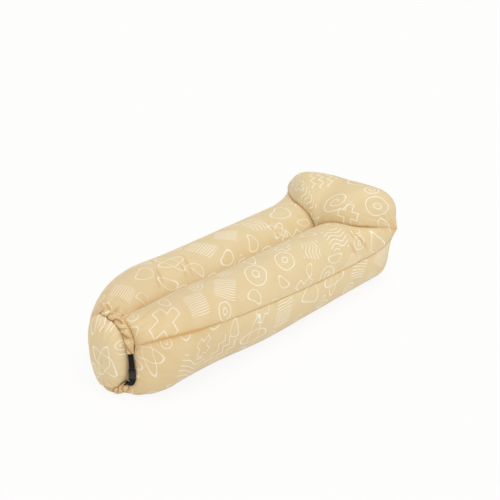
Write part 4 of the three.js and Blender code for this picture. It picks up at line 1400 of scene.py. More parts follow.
def stops(
    curve: Callable[[Array], Array],
    last: float,
    pitch: float,
    fine: float,
    band: float,
    first: float = 0,
) -> Array:
    """Parameters along a curve, closer together near its ends.

    Args:
        curve: gives the curve's points for an array of parameters.
        last: the last parameter.
        pitch: millimetres between points in the middle.
        fine: millimetres between points at the ends.
        band: how far from an end the points stay close.
        first: the first parameter.

    Returns:
        The parameters in order.
    """
    t = np.linspace(first, last, 3000)
    path = curve(t)
    arc = np.concatenate([[0], np.cumsum(np.linalg.norm(np.diff(path, axis=0), axis=-1))])
    step = mix(fine, pitch, smooth(np.minimum(arc, arc[-1] - arc), band * 0.5, band * 1.5))
    density = np.concatenate([[0], np.cumsum(np.diff(arc) * 2 / (step[1:] + step[:-1]))])
    return np.interp(np.linspace(0, density[-1], round(density[-1]) + 1), density, t)


class Bench:
    """Makes and finishes meshes with Blender's own operators."""

    @staticmethod
    def pick(piece: Any) -> None:
        """Selects only this object and makes it active.

        Args:
            piece: the object.
        """
        bpy.ops.object.select_all(action="DESELECT")
        piece.select_set(True)
        bpy.context.view_layer.objects.active = piece

    @staticmethod
    def tidy(piece: Any, gap: float, outside: bool = False) -> None:
        """Merges doubles, and turns a closed piece's faces outwards where asked.

        Args:
            piece: the object.
            gap: how close points are that merge, in metres.
            outside: whether its faces are turned.
        """
        Bench.pick(piece)
        bpy.ops.object.mode_set(mode="EDIT")
        bpy.ops.mesh.select_all(action="SELECT")
        bpy.ops.mesh.remove_doubles(threshold=gap)
        if outside:
            bpy.ops.mesh.normals_make_consistent(inside=False)
        bpy.ops.object.mode_set(mode="OBJECT")

    @staticmethod
    def modified(piece: Any, kind: str, **settings: Any) -> None:
        """Adds a modifier and applies it.

        Args:
            piece: the object.
            kind: the modifier's type.
            settings: the modifier's own settings.
        """
        modifier = piece.modifiers.new(kind.title(), kind)
        for key, value in settings.items():
            setattr(modifier, key, value)
        Bench.pick(piece)
        bpy.ops.object.modifier_apply(modifier=modifier.name)

    @staticmethod
    def from_grid(name: str, grid: ClothGrid, uv: Array) -> Any:
        """A sheet shaped from a primitive grid.

        Args:
            name: the piece's name.
            grid: where its points go, in millimetres.
            uv: cloth coordinates of every point, in metres.

        Returns:
            The new object, at the origin.
        """
        rows, columns = grid.points.shape[:2]
        row_first = grid.outward > 0
        counts = (rows - 1, columns - 1) if row_first else (columns - 1, rows - 1)
        bpy.ops.object.select_all(action="DESELECT")
        bpy.ops.mesh.primitive_grid_add(x_subdivisions=counts[0], y_subdivisions=counts[1], size=2)
        piece = bpy.context.active_object
        piece.name = piece.data.name = name
        mesh = piece.data
        flat = np.zeros(len(mesh.vertices) * 3)
        mesh.vertices.foreach_get("co", flat)
        flat = flat.reshape(-1, 3)
        first = np.rint((flat[:, 0] + 1) / 2 * counts[0]).astype(int)
        second = np.rint((flat[:, 1] + 1) / 2 * counts[1]).astype(int)
        r, c = (first, second) if row_first else (second, first)
        mesh.vertices.foreach_set("co", (grid.points[r, c] * MM).ravel())
        loops = np.zeros(len(mesh.loops), dtype=int)
        mesh.loops.foreach_get("vertex_index", loops)
        layer = mesh.uv_layers.active or mesh.uv_layers.new()
        layer.name = "UVMap"
        layer.data.foreach_set("uv", uv[r, c][loops].ravel())
        # Each point's share of painted shade goes onto the mesh as an attribute
        folds = mesh.attributes.new(PAINTED_FOLD_SHADE, "FLOAT", "POINT")
        folds.data.foreach_set("value", grid.fold[r, c])
        mesh.update()
        mesh.polygons.foreach_set("use_smooth", np.ones(len(mesh.polygons), dtype=bool))
        return piece

    @staticmethod
    def node_copy(name: str, node: str) -> Any:
        """A new piece with a copy of a model node's mesh, its doubles merged.

        Args:
            name: the piece's name.
            node: the model node.

        Returns:
            The new piece.
        """
        piece = bpy.data.objects.new(name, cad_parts[node].data.copy())
        bpy.context.scene.collection.objects.link(piece)
        piece.data.materials.clear()
        Bench.tidy(piece, FINE_GAP)
        return piece

    @staticmethod
    def dress(piece: Any, material: bpy.types.Material) -> None:
        """Gives a piece its one material."""
        piece.data.materials.clear()
        piece.data.materials.append(material)

    @staticmethod
    def cloth_area(piece: Any) -> float:
        """The area of a piece's faces, in square metres.

        Args:
            piece: the object.

        Returns:
            The area.
        """
        areas = np.zeros(len(piece.data.polygons))
        piece.data.polygons.foreach_get("area", areas)
        return float(areas.sum())


# The cloth of the lounger


class Gathers(NamedTuple):
    """One size of pleat beside a gathered edge, in millimetres."""

    spacing: float
    reach: float
    height: float


class Tuck(NamedTuple):
    """A fold pressed into a panel along a route seen from above, with half its width."""

    route: Sequence[tuple[float, float]]
    depth: float
    width: float


MOUTH_GATHERS = (Gathers(31.0, 150.0, 6.0), Gathers(15.0, 62.0, 2.6), Gathers(8.5, 26.0, 1.2))
# Round the dome, the first number of each says how many pleats there are
DOME_GATHERS = (Gathers(19, 120.0, 3.4), Gathers(41, 46.0, 1.8), Gathers(67, 22.0, 0.9))

# Folds that the tubes' tops show
SEAT_TUCKS: dict[Side, tuple[Tuck, ...]] = {
    Side.LEFT: (
        Tuck(((673, -225), (668, -289), (682, -331), (700, -349)), 5.2, 6.5),
        Tuck(((588, -312), (594, -336), (606, -350)), 3.8, 5.5),
        Tuck(((642, -246), (636, -296), (640, -330)), 2.2, 5.5),
        Tuck(((-930, -124), (-862, -113), (-812, -94)), 4.2, 5.5),
        Tuck(((-932, -100), (-866, -82), (-822, -58)), 5.0, 6.0),
    ),
    Side.RIGHT: (
        Tuck(((-418, 150), (-446, 84), (-470, 36)), 3.6, 6.5),
        Tuck(((-452, 128), (-486, 66), (-512, 22)), 2.0, 5.5),
        Tuck(((-214, 168), (-246, 88), (-268, 30)), 3.6, 6.5),
        Tuck(((-262, 140), (-292, 76), (-318, 26)), 2.0, 5.5),
        Tuck(((420, 132), (404, 78), (410, 24)), 1.8, 6.0),
        Tuck(((-936, -78), (-872, -6), (-826, 82)), 5.6, 7.0),
        Tuck(((-930, -44), (-880, 28), (-850, 92)), 3.4, 6.0),
        Tuck(((-936, -76), (-862, -36), (-806, -8)), 4.6, 6.5),
    ),
}


@dataclass
class Shell:
    """The inflated panels, sewn together along puckered seams.

    The pleats at the ears are counted, like the dome's, and every other size is in millimetres.
    """

    hull: Hull
    ground: Colour = srgb(230, 211, 169)
    depth: Colour = srgb(224, 200, 152)
    base_ground: Colour = srgb(222, 200, 152)
    base_rough: float = 0.55
    cloth_thickness: float = 0.9
    spacing: tuple[float, float] = (6.5, 3.2)
    base_spacings: tuple[tuple[float, float], ...] = ((12, 5), (10, 5))
    band: float = 60
    narrow_band: float = 40
    headrest_band: float = 90
    dome_columns: int = 221
    dome_fine: float = 4
    mouth_hold: float = 60
    ear_hold: float = 160
    # Painted shade: in pucker valleys, along the side seam's groove near the foot, and over the
    # cloth at the foot
    pucker_tone: float = 0.25
    groove_run: tuple[float, float] = (230, 210)
    groove_tone: float = 0.75
    foot_tone: float = 0.16
    foot_tone_length: float = 620
    wrinkle_place: tuple[float, float] = (10, 95)
    wrinkles: Gathers = Gathers(34, 130, 3.2)
    ear_gathers: Gathers = Gathers(5.5, 90, 5.0)

    def sheet(
        self,
        name: str,
        node: str,
        grid: ClothGrid,
        finish: Cloth,
        rests_on: Sequence[str],
        origin: tuple[int, int] = (0, 0),
        laid: Array | None = None,
    ) -> None:
        """Args:
            name: the piece's name.
            node: the model node that it stands for.
            grid: its worked points.
            finish: its cloth.
            rests_on: nodes that carry it; not used.
            origin: the row and column from which the cloth is measured.
            laid: where each point lies on the flat cloth, if not along rows and columns.
        """
        grid.points = self.hull.eased(grid.points)
        if laid is None:
            u = grid.row_arc - grid.row_arc[[origin[0]], :]
            v = grid.column_arc - grid.column_arc[:, [origin[1]]]
            laid = np.stack([u, v], axis=-1)
        piece = Bench.from_grid(name, grid, laid * MM)
        if grid.closed:
            Bench.tidy(piece, CLOTH_GAP)
        area = Bench.cloth_area(piece)
        thickness = self.cloth_thickness * MM
        Bench.modified(piece, "SOLIDIFY", thickness=thickness, offset=-1, use_even_offset=False)
        Bench.dress(piece, finish.made())
        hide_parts(node)
        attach(piece, BODY)
        log.info("%s: %d faces, %.2f square metres", name, len(piece.data.polygons), area)

    def satin(self, part: str, offset: tuple[float, float]) -> Cloth:
        """The printed cloth of one panel, cut so far from the print's origin."""
        return Cloth(f"satin_{part}", self.ground, self.depth, folded=True, offset=offset)

    def sampled(
        self,
        surface: Callable[[Array, Array], Array],
        last: tuple[float, float],
        outward: int,
        bands: tuple[float, float],
        spacings: Sequence[tuple[float, float]] | None = None,
        middle_row: float | None = None,
    ) -> ClothGrid:
        """Samples a panel, with closer rows and columns near its edges.

        Args:
            surface: gives the panel's points for rows and columns.
            last: its last row and its last column.
            outward: 1 or -1, the side of the grid that looks outwards.
            bands: how far from their edges the rows and the columns stay close.
            spacings: wide and close spacing of the rows and of the columns, if not the usual ones.
            middle_row: the row on which the columns are spaced, if not the middle one.

        Returns:
            The grid of points.
        """
        middle = last[0] / 2 if middle_row is None else middle_row
        wide, narrow = spacings or (self.spacing, self.spacing)
        rows = stops(lambda t: surface(t, last[1] / 2 + 0 * t), last[0], *wide, bands[0])
        columns = stops(lambda t: surface(middle + 0 * t, t), last[1], *narrow, bands[1])
        r, c = np.meshgrid(rows, columns, indexing="ij")
        return ClothGrid(surface(r, c), outward, across=columns / last[1])

    def lengthwise(self, panel: Callable, last_column: float, side: Side) -> ClothGrid:
        """Samples one of the panels that run from the mouth to the rear."""
        hull, sign = self.hull, side.value
        return self.sampled(
            lambda row, column: panel(row, column, sign),
            (hull.rows, last_column),
            -sign,
            (self.band, self.narrow_band),
            middle_row=hull.shoulder_rows + hull.straight_rows / 2,
        )

    def worked(self, grid: ClothGrid, seams: dict[Edge, Seam], share: Array | float = 1.0) -> None:
        """Swells a grid between its seams, puckers it beside them, and paints shade into the
        grooves and pucker valleys.

        Args:
            grid: the panel's points.
            seams: the seams at its edges.
            share: how much of this each point gets.
        """
        swell: Array | float = 1.0
        plump = max(seam.plump for seam in seams.values())
        for edge, seam in seams.items():
            away, along = grid.away_from(edge)
            swell = swell * seam.swell(away)
            folds = seam.puckers(away, along)
            grid.lift(folds * share)
            # Painted shade along the seam's groove and in the valleys of its puckers
            grid.shade(seam.groove(away, along) * share)
            grid.shade(np.maximum(-folds, 0) / seam.pucker * self.pucker_tone * share)
        grid.lift(plump * swell * share)

    def ripples(self, grid: ClothGrid, size: float, height: float, seed: float) -> None:
        """Faint unevenness of the whole cloth.

        Args:
            grid: the panel's points.
            size: length of the long ripples.
            height: their height.
            seed: which noise they follow.
        """
        waves = 0.0
        for part, length, width, step in ((0.7, 1.0, 0.55, 0), (0.3, 0.37, 0.21, 11)):
            u, v = grid.row_arc / (size * length), grid.column_arc / (size * width)
            waves = waves + part * speckle(u, v, seed + step)
        for edge in Edge:
            waves = waves * smooth(grid.away_from(edge)[0], 0, self.narrow_band)
        grid.lift(waves * height)

    def mouth_pleats(self, grid: ClothGrid, seed: float, share: Array | float = 1.0) -> None:
        """Pleats that run from the gathered mouth out over the cloth, with shade painted into their
        valleys and at the lip.

        Args:
            grid: the panel's points.
            seed: which noise they follow.
            share: how much of them each point gets.
        """
        away, along = grid.away_from(Edge.FIRST_ROW)
        total = 0.0
        for pitch, reach, height in MOUTH_GATHERS:
            drift = 0.6 * speckle(along / (pitch * 2.2), away / (reach * 1.3), seed + pitch)
            size = 0.6 + 0.4 * speckle(along / (pitch * 1.4), 0 * away, seed + pitch + 1)
            uneven = speckle(along / (pitch * 0.9), 0 * away, seed + pitch + 2)
            length = np.maximum(reach * (0.85 + 0.55 * uneven), 10)
            fade = np.exp(-away / length) * risen(away, reach * 0.16)
            total = total + height * size * pleats(math.pi * (along / pitch + drift)) * fade
        seam_fade = 1.0
        for edge in (Edge.FIRST_COLUMN, Edge.LAST_COLUMN):
            seam_fade = seam_fade * risen(grid.away_from(edge)[0], 10)
        grid.lift(total * seam_fade * share)
        # Painted shade in the pleats' valleys and in the crevice at the lip
        valley_shade = np.clip(-total / 5, 0, 1) * 0.6 * seam_fade * share
        grid.shade(valley_shade + 0.5 * np.exp(-away / 14))

    def groove(self, grid: ClothGrid, seam: Edge) -> None:
        """Paints shade into the seam's groove near the foot, and onto the cloth round it.

        Args:
            grid: the panel's points.
            seam: the edge with the seam.
        """
        away, along = grid.away_from(seam)
        beside = bell(away, 9) * 0.75 + bell(away, 26) * 0.25
        middle, length = self.groove_run
        # Painted shade along the seam's groove, strongest near the foot
        grid.shade(beside * bell(along - middle, length) * self.groove_tone)
        # Painted shade over the cloth at the foot end
        grid.shade(self.foot_tone * bell(along, self.foot_tone_length))

    def tube_top(self, side: Side) -> None:
        """One tube's top, from the side seam over the crest to the valley.

        Args:
            side: the tube's side.
        """
        sign = side.value
        grid = self.lengthwise(self.hull.tube_top, self.hull.top_columns, side)
        self.ripples(grid, 240, 2.2, 3 + sign)
        self.mouth_pleats(grid, 20 + sign, mix(0.3, 1.25, grid.across[None] ** 1.2))
        self.worked(
            grid,
            {
                Edge.FIRST_COLUMN: Seam(seed=31 + sign),
                Edge.LAST_COLUMN: Seam(2.0, 12, 1.4, 26, 30, seed=35 + sign, tone_width=26),
                Edge.LAST_ROW: Seam(3.0, 12, 2.2, 24, 60, 37 + sign, 0.75, tone_width=17),
            },
            smooth(grid.away_from(Edge.FIRST_ROW)[0], 0, self.mouth_hold),
        )
        self.groove(grid, Edge.FIRST_COLUMN)
        for tuck in SEAT_TUCKS[side]:
            grid.tuck(*tuck)
        finish = self.satin(f"top_{side.hand}", (0.4 + sign * 0.31, 0.27 * sign))
        names = (f"tube_top_cloth_{side.hand}", f"tube_top_{side.hand}")
        middle = grid.points.shape[1] // 2
        self.sheet(*names, grid, finish, [f"side_panel_{side.hand}"], (0, middle))

    def side_panel(self, side: Side) -> None:
        """One side panel, from the floor up to the side seam.

        Args:
            side: the panel's side.
        """
        sign = side.value
        grid = self.lengthwise(self.hull.side_panel, self.hull.side_columns, side)
        self.ripples(grid, 260, 2.0, 43 + sign)
        self.mouth_pleats(grid, 50 + sign, mix(0.6, 0.3, grid.across[None]))
        self.worked(
            grid,
            {
                Edge.FIRST_COLUMN: Seam(0.8, 12, 0.9, 22, seed=51 + sign),
                Edge.LAST_COLUMN: Seam(seed=55 + sign),
                Edge.LAST_ROW: Seam(2.0, 10, 1.6, 22, 40, seed=57 + sign),
            },
            smooth(grid.away_from(Edge.FIRST_ROW)[0], 0, self.mouth_hold),
        )
        self.groove(grid, Edge.LAST_COLUMN)
        grid.points[..., 2] = np.maximum(grid.points[..., 2], 0.0)
        finish = self.satin(f"side_{side.hand}", (0.13 + sign * 0.2, 0.05))
        names = (f"side_cloth_{side.hand}", f"side_panel_{side.hand}")
        self.sheet(*names, grid, finish, ["base_panel"])

    def base(self) -> None:
        """The flat base, which lies on the floor."""
        hull = self.hull
        last, bands = (hull.rows, hull.floor_columns), (self.band, self.narrow_band)
        grid = self.sampled(hull.base, last, -1, bands, self.base_spacings)
        self.mouth_pleats(grid, 71, 0.5)
        for edge in (Edge.FIRST_COLUMN, Edge.LAST_COLUMN, Edge.LAST_ROW):
            away, along = grid.away_from(edge)
            grid.lift(-np.abs(Seam(pucker=1.2, pitch=24, seed=73).puckers(away, along)))
        grid.points[..., 2] = np.maximum(grid.points[..., 2], 0.0)
        tones = (self.base_ground, self.depth)
        finish = Cloth("satin_base", *tones, pattern=None, folded=True, rough=self.base_rough)
        middle = grid.points.shape[1] // 2
        self.sheet("base_cloth", "base_panel", grid, finish, [], (0, middle))

    def headrest(self) -> None:
        """The headrest pillow, with long wrinkles that rise from the crease."""
        hull = self.hull
        last, bands = (hull.headrest_rows, hull.floor_columns), (self.band, self.headrest_band)
        grid = self.sampled(hull.headrest, last, 1, bands)
        self.ripples(grid, 210, 2.4, 83)
        away, along = grid.away_from(Edge.FIRST_ROW)
        middle, spread = self.wrinkle_place
        drift = 0.7 * speckle(along / 70, away / 190, 91)
        wave = np.cos(FULL_TURN * (along / self.wrinkles.spacing + drift))
        fade = np.exp(-away / self.wrinkles.reach) * risen(away, 22)
        fade = fade * bell(grid.points[..., 1] - middle, spread)
        grid.lift(wave * fade * self.wrinkles.height)
        self.worked(
            grid,
            {
                Edge.FIRST_ROW: Seam(3.0, 12, 1.8, 26, 46, 93, 0.6, tone_width=13),
                Edge.LAST_ROW: Seam(2.0, 10, 1.4, 23, 34, seed=97),
            },
            np.minimum(1, grid.row_arc[[-1], :] / self.ear_hold),
        )
        self.ear_pleats(grid)
        rows, columns = grid.points.shape[:2]
        self.sheet(
            "headrest_cloth",
            "headrest_panel",
            grid,
            self.satin("headrest", (0.36, 0.21)),
            ["tube_top_left", "tube_top_right", "rear_panel"],
            (rows // 2, columns // 2),
        )

    def ear_pleats(self, grid: ClothGrid) -> None:
        """Pleats that spread from the ears, where four panels meet."""
        for edge, seed in ((Edge.FIRST_COLUMN, 101.0), (Edge.LAST_COLUMN, 107.0)):
            away, _ = grid.away_from(edge)
            share = grid.row_arc / np.maximum(grid.row_arc[[-1], :], 1)
            drift = 0.3 * speckle(share * 5, away / 120, seed)
            wave = np.cos(FULL_TURN * (share * self.ear_gathers.spacing + drift))
            fade = np.exp(-away / self.ear_gathers.reach) * smooth(away, 4, 60)
            grid.lift(wave * fade * np.sin(share * math.pi) * self.ear_gathers.height)

    def rear(self) -> None:
        """The rear panel."""
        hull = self.hull
        last, bands = (hull.side_columns, hull.floor_columns), (self.narrow_band, self.band)
        grid = self.sampled(hull.rear_panel, last, -1, bands)
        self.ripples(grid, 230, 3.0, 113)
        self.worked(
            grid,
            {
                Edge.FIRST_ROW: Seam(1.0, 10, 1.0, 22, 30, seed=115),
                Edge.LAST_ROW: Seam(2.5, 10, 1.6, 24, 44, seed=117),
                Edge.FIRST_COLUMN: Seam(2.0, 10, 1.4, 22, 40, seed=119),
                Edge.LAST_COLUMN: Seam(2.0, 10, 1.4, 22, 40, seed=121),
            },
        )
        finish, middle = self.satin("rear", (0.09, 0.44)), grid.points.shape[1] // 2
        self.sheet("rear_cloth", "rear_panel", grid, finish, ["base_panel"], (0, middle))

    def dome(self) -> None:
        """The end of the bag, which swells out through the mouth."""
        hull = self.hull
        last = hull.dome_wrap_rows + hull.dome_cap_rows
        wide, band = self.spacing[0], self.narrow_band
        rows = stops(lambda t: hull.dome(t, 180 + 0 * t), last, wide, self.dome_fine, band)
        r, d = np.meshgrid(rows, np.linspace(0, 360, self.dome_columns), indexing="ij")
        grid = ClothGrid(hull.dome(r, d), -1, closed=True)
        away, turn = grid.row_arc, np.radians(d)
        total = 0.0
        for count, reach, height in DOME_GATHERS:
            drift = 0.5 * np.sin(turn * 3 + count)
            drift = drift + 0.4 * np.sin(turn * 7 + count * 2 + away / reach)
            fade = np.exp(-away / reach) * risen(away, reach * 0.2)
            total = total + height * pleats(turn * count / 2 + drift) * fade
        total = total * (0.25 + 0.95 * np.abs(np.sin(turn - 0.25)) ** 2.5)
        grid.lift(total)
        # Painted shade in the pleats' valleys and in the crevice next to the roll
        grid.shade(np.clip(-total / 4, 0, 1) * 0.6 + 0.6 * np.exp(-away / 12))
        grid.close()
        from_pole = grid.row_arc[[-1], :] - grid.row_arc
        self.sheet(
            "dome_cloth",
            "mouth_dome",
            grid,
            self.satin("dome", (0.02, 0.31)),
            ["mouth_roll"],
            laid=np.stack([from_pole * np.sin(turn), from_pole * np.cos(turn)], axis=-1),
        )

    def build(self) -> None:
        """Makes every panel."""
        for side in Side:
            self.tube_top(side)
            self.side_panel(side)
        self.base()
        self.headrest()
        self.rear()
        self.dome()


@dataclass
class RolledMouth:
    """The two lips of the mouth rolled up round their stiffening strips."""

    mouth: Mouth
    ground: Colour = srgb(230, 208, 162)
    depth: Colour = srgb(214, 180, 124)
    # Painted shade: the dark golden colour that the roll's valleys are darkened towards
    fold: Colour = srgb(176, 126, 62)
    steps: int = 520
    sides: int = 72
    end_steps: int = 7
    strands: int = 2
    strand_length: float = 58
    strand_depth: float = 6.6
    fine_length: float = 9.5
    fine_depth: float = 1.6
    lump: float = 1.3
    cuff_pitch: float = 12
    cuff_depth: float = 2.0
    meeting_width: float = 15
    arc_radius: float = 150

    def worked(self, degrees: Array, turn: Array) -> tuple[Array, Array]:
        """Radius of the roll and the shade painted in its folds.

        Args:
            degrees: places along the ring.
            turn: places round the roll.

        Returns:
            The radius in millimetres and the share of painted shade.
        """
        mouth = self.mouth
        share = np.clip(mouth.from_roll_end(degrees) / mouth.taper_angle, 0, 1)
        radius = mix(mouth.roll_end_radius, mouth.roll_radius, share)
        angle, along = np.radians(turn), np.radians(degrees) * self.arc_radius
        # Two twisted strands with fine creases across them, and shade painted in their valleys
        loose = 2.1 * speckle(along / 43, 0 * along, 5)
        wound = angle * self.strands / 2 + math.pi * along / self.strand_length + loose
        strand = np.abs(np.sin(wound + 0.35 * speckle(along / 15, angle, 7))) ** 0.5
        bent = speckle(along / 19, angle / 2, 9)
        fine = np.abs(np.sin(angle * 2 - along / self.fine_length + 2.4 * bent)) ** 0.6
        size = 0.75 + 0.5 * speckle(along / 27, 0 * along, 13)
        height = (strand - 0.82) * self.strand_depth * size + (fine - 0.62) * self.fine_depth
        height = height + self.lump * speckle(along / 11, angle * 1.1, 21)
        tone = (1 - strand) ** 1.2 * 1.3 + (1 - fine) ** 1.5 * 0.4
        # Cuffs of small even gathers where the body and the dome run into the roll, with shade
        # painted between the gathers
        body_side = smooth(np.cos(np.radians(turn - mouth.body_lip_angle)), 0.25, 0.85)
        dome_side = smooth(np.cos(np.radians(turn - mouth.dome_lip_angle)), 0.5, 0.95)
        cuff = np.maximum(body_side, dome_side)
        gathers = math.pi * (along / self.cuff_pitch + 0.8 * speckle(along / 30, angle, 31))
        gathers = np.abs(np.cos(gathers)) ** 0.7
        height = mix(height, (gathers - 0.5) * self.cuff_depth, cuff)
        tone = mix(tone, (1 - gathers) * 0.55, cuff)
        # The roll meets both lips without a gap
        body_lip = mix(mouth.body_lip_angle, mouth.body_meeting_angle, mouth.gap_share(degrees))
        lips = (body_lip, mouth.dome_lip_turn(degrees))
        aside = (np.mod(turn - lip + 180, 360) - 180 for lip in lips)
        met = sum(bell(away, self.meeting_width) for away in aside)
        meeting = mouth.roll_pucker + mouth.lip_gap * 0.9
        height = mix(height, meeting, np.clip(met * share, 0, 1))
        return radius + height, np.clip(tone, 0, 1)

    def build(self) -> None:
        """Makes the roll with rounded ends."""
        start, end = self.mouth.roll_start, self.mouth.roll_end
        degrees = np.linspace(start, end, self.steps)
        rounding = np.linspace(0, 1, self.end_steps + 1)[:-1]
        lead = np.concatenate([start + 0 * rounding, degrees, end + 0 * rounding])
        swell = np.sin(rounding * math.pi / 2)
        size = np.concatenate([swell, np.ones(self.steps), swell[::-1]])
        d, t = np.meshgrid(lead, np.linspace(0, 360, self.sides + 1), indexing="ij")
        reach, tone = self.worked(d, t)
        grid = ClothGrid(self.mouth.beside(d, t, reach * size[:, None]), 1, closed=True)
        # Painted shade in the roll's valleys
        grid.shade(tone)
        grid.close()
        along = np.radians(d) * self.arc_radius
        uv = np.stack([along, np.radians(t) * self.mouth.roll_radius], axis=-1) * MM
        piece = Bench.from_grid("mouth_roll_cloth", grid, uv)
        Bench.tidy(piece, CLOTH_GAP, outside=True)
        tones = (self.ground, self.depth, self.fold)
        Bench.dress(piece, Cloth("satin_roll", *tones, folded=True, offset=(0.3, 0.1)).made())
        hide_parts("mouth_roll")
        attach(piece, BODY)
        log.info("mouth_roll_cloth: %d faces", len(piece.data.polygons))


@dataclass(frozen=True)
class Strap:
    """Doubled webbing from an end of the roll round a bar of the buckle, in millimetres."""

    width: float = 25
    thickness: float = 1.6
    gap: float = 0.36
    clearance: float = 0.4
    bar_height: float = 4
    bar_depth: float = 5
    handle_roll: float = 16
    handle_buckle: float = 32
    steps: int = 44
    bar_steps: int = 18
    corner_steps: int = 4

    def profile(self) -> Array:
        """Outline of the webbing's section with round edges, as places through and across it.

        Returns:
            The outline's points, with the first one again at the end.
        """
        half, radius = self.width / 2, self.thickness / 2
        arc = np.linspace(-math.pi / 2, math.pi / 2, 2 * self.corner_steps + 1)
        right = np.stack([radius * np.sin(arc), half - radius + radius * np.cos(arc)], axis=-1)
        flat = np.linspace(half - radius, radius - half, 12)[1:-1]
        top = np.stack([radius + 0 * flat, flat], axis=-1)
        outline = np.concatenate([right, top, -right, -top])
        return np.concatenate([outline, outline[:1]])

    def frames(
        self, anchor: Array, tangent: Array, normal: Array, bar: Array, up: Array, face: Array
    ) -> tuple[Array, Array, Array]:
        """Centres, thickness directions and width directions along the whole strap.

        Args:
            anchor: where it leaves the roll.
            tangent: the direction in which it leaves.
            normal: the way that its face looks there.
            bar: the middle of the buckle's bar.
            up: the direction in which it reaches the bar.
            face: the way that its face looks at the bar.

        Returns:
            The three arrays, from the roll round the bar and back.
        """
        ends = [anchor, anchor + tangent * self.handle_roll, bar - up * self.handle_buckle, bar]
        at_anchor = (self.thickness + self.gap) / 2
        bar_radius = math.hypot(self.bar_height, self.bar_depth) / 2
        at_bar = bar_radius + self.clearance + self.thickness / 2
        t = np.linspace(0, 1, self.steps)[:, None]
        centre = bezier(t, ends)
        heading = unit(bezier(t, [b - a for a, b in zip(ends[:-1], ends[1:])]))
        out = mix(normal, face, 1 - (1 - t) ** 2)
        out = unit(out - heading * (out * heading).sum(-1, keepdims=True))
        broad = np.cross(heading, out)
        spread = mix(at_anchor, at_bar, t * t)
        turn = np.linspace(0, math.pi, self.bar_steps)[1:-1, None]
        round_out = out[-1] * np.cos(turn) + heading[-1] * np.sin(turn)
        turned = centre[-1] + round_out * spread[-1]
        centres = [centre + out * spread, turned, (centre - out * spread)[::-1]]
        across = [out, round_out, -out[::-1]]
        broads = [broad, broad[-1] + 0 * round_out, broad[::-1]]
        return np.concatenate(centres), np.concatenate(across), np.concatenate(broads)

    def piece(self, name: str, *route: Array) -> Any:
        """Makes the strap's mesh along its route.

        Args:
            name: the piece's name.
            route: the places and directions that frames takes.

        Returns:
            The new piece.
        """
        centres, across, broads = self.frames(*route)
        outline = self.profile()
        points = (
            centres[:, None]
            + across[:, None] * outline[None, :, :1]
            + broads[:, None] * outline[None, :, 1:]
        )
        squeezed = points.mean(axis=1, keepdims=True) + 0 * points
        points = np.concatenate([squeezed[:1], points, squeezed[-1:]])
        grid = ClothGrid(points, 1, closed=True)
        arc = np.concatenate([[0], np.cumsum(np.linalg.norm(np.diff(outline, axis=0), axis=-1))])
        along = grid.row_arc.mean(axis=1, keepdims=True) + 0 * grid.row_arc
        uv = np.stack([along, arc[None] + 0 * grid.row_arc], axis=-1) * MM
        made = Bench.from_grid(name, grid, uv)
        Bench.tidy(made, FINE_GAP, outside=True)
        return made


class End(Enum):
    """The roll's two ends, valued by the way that each one's strap runs: 1 up and -1 down."""

    LOWER = 1
    UPPER = -1


@dataclass
class Buckle:
    """The side-release buckle and the webbing on both of its halves."""

    mouth: Mouth
    outset: float = 10
    turn: float = 62
    socket_bottom: float = 104.6
    plug_top: float = 166.96
    strap_gap: float = 0.36
    blend_lead: float = 8
    blend_tail: float = 6
    bevel: float = 0.5
    prong_bevel: float = 0.4
    bevel_angle: float = 35
    smooth_angle: float = 40
    charcoal: Colour = srgb(19, 19, 18)
    rubbed: Colour = srgb(48, 46, 43)
    strap: Strap = Strap()

    @property
    def centre(self) -> Array:
        """The buckle's upright axis, at the height of the ring's middle."""
        return self.mouth.point(np.array(0.0)) + np.array([0, -self.outset, 0])

    @property
    def face(self) -> Array:
        """The way that the buckle's face looks."""
        angle = -math.radians(self.turn)
        return np.array([math.sin(angle), -math.cos(angle), 0.0])

    def webbing(self, end: End, degrees: float, bar_height: float) -> Any:
        """The strap at one end of the roll.

        Args:
            end: which end.
            degrees: where it is, as an angle round the mouth.
            bar_height: height of the buckle's bar.

        Returns:
            The dressed piece.
        """
        hand, direction = end.name.lower(), end.value
        at = np.array(degrees)
        out = self.mouth.outward(at)
        tangent = np.cross(out, self.mouth.back) * direction
        anchor = self.mouth.point(at) + tangent * self.strap_gap
        bar = np.array([self.centre[0], self.centre[1], bar_height])
        up = np.array([0.0, 0.0, direction])
        name = f"strap_{hand}"
        piece = self.strap.piece(name, anchor, tangent, out, bar, up, self.face)
        Bench.dress(piece, Webbing(f"charcoal_webbing_{hand}").made())
        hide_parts(f"webbing_{hand}")
        log.info("%s: %d faces", name, len(piece.data.polygons))
        return piece

    def moulded(self, name: str, node: str, body: str, bevel: float) -> None:
        """A buckle part with rounded edges.

        Args:
            name: the piece's name.
            node: the model node that it stands for.
            body: the body that it rides on.
            bevel: width of its rounded edges.
        """
        piece = Bench.node_copy(name, node)
        Bench.modified(
            piece,
            "BEVEL",
            width=bevel * MM,
            segments=3,
            limit_method="ANGLE",
            angle_limit=math.radians(self.bevel_angle),
        )
        Bench.pick(piece)
        bpy.ops.object.shade_smooth_by_angle(angle=math.radians(self.smooth_angle))
        Bench.dress(piece, Plastic(f"acetal_{name}", self.charcoal, self.rubbed).made())
        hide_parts(node)
        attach(piece, body)
        log.info("%s: %d faces", name, len(piece.data.polygons))

    def build(self) -> None:
        """Makes the straps and the buckle's parts."""
        half_bar = self.strap.bar_height / 2
        lower = self.webbing(End.LOWER, self.mouth.roll_end, self.socket_bottom + half_bar)
        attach(lower, BODY)
        upper = self.webbing(End.UPPER, self.mouth.roll_start, self.plug_top - half_bar)
        x, y = self.centre[:2] * MM
        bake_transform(upper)
        self.moulded("socket_shell", "buckle_socket", BODY, self.bevel)
        self.moulded("plug_shell", "buckle_plug", PLUG_BODY, self.bevel)
        for prong in ("prong_left", "prong_right"):
            self.moulded(prong, f"latch_{prong}", prong, self.prong_bevel)


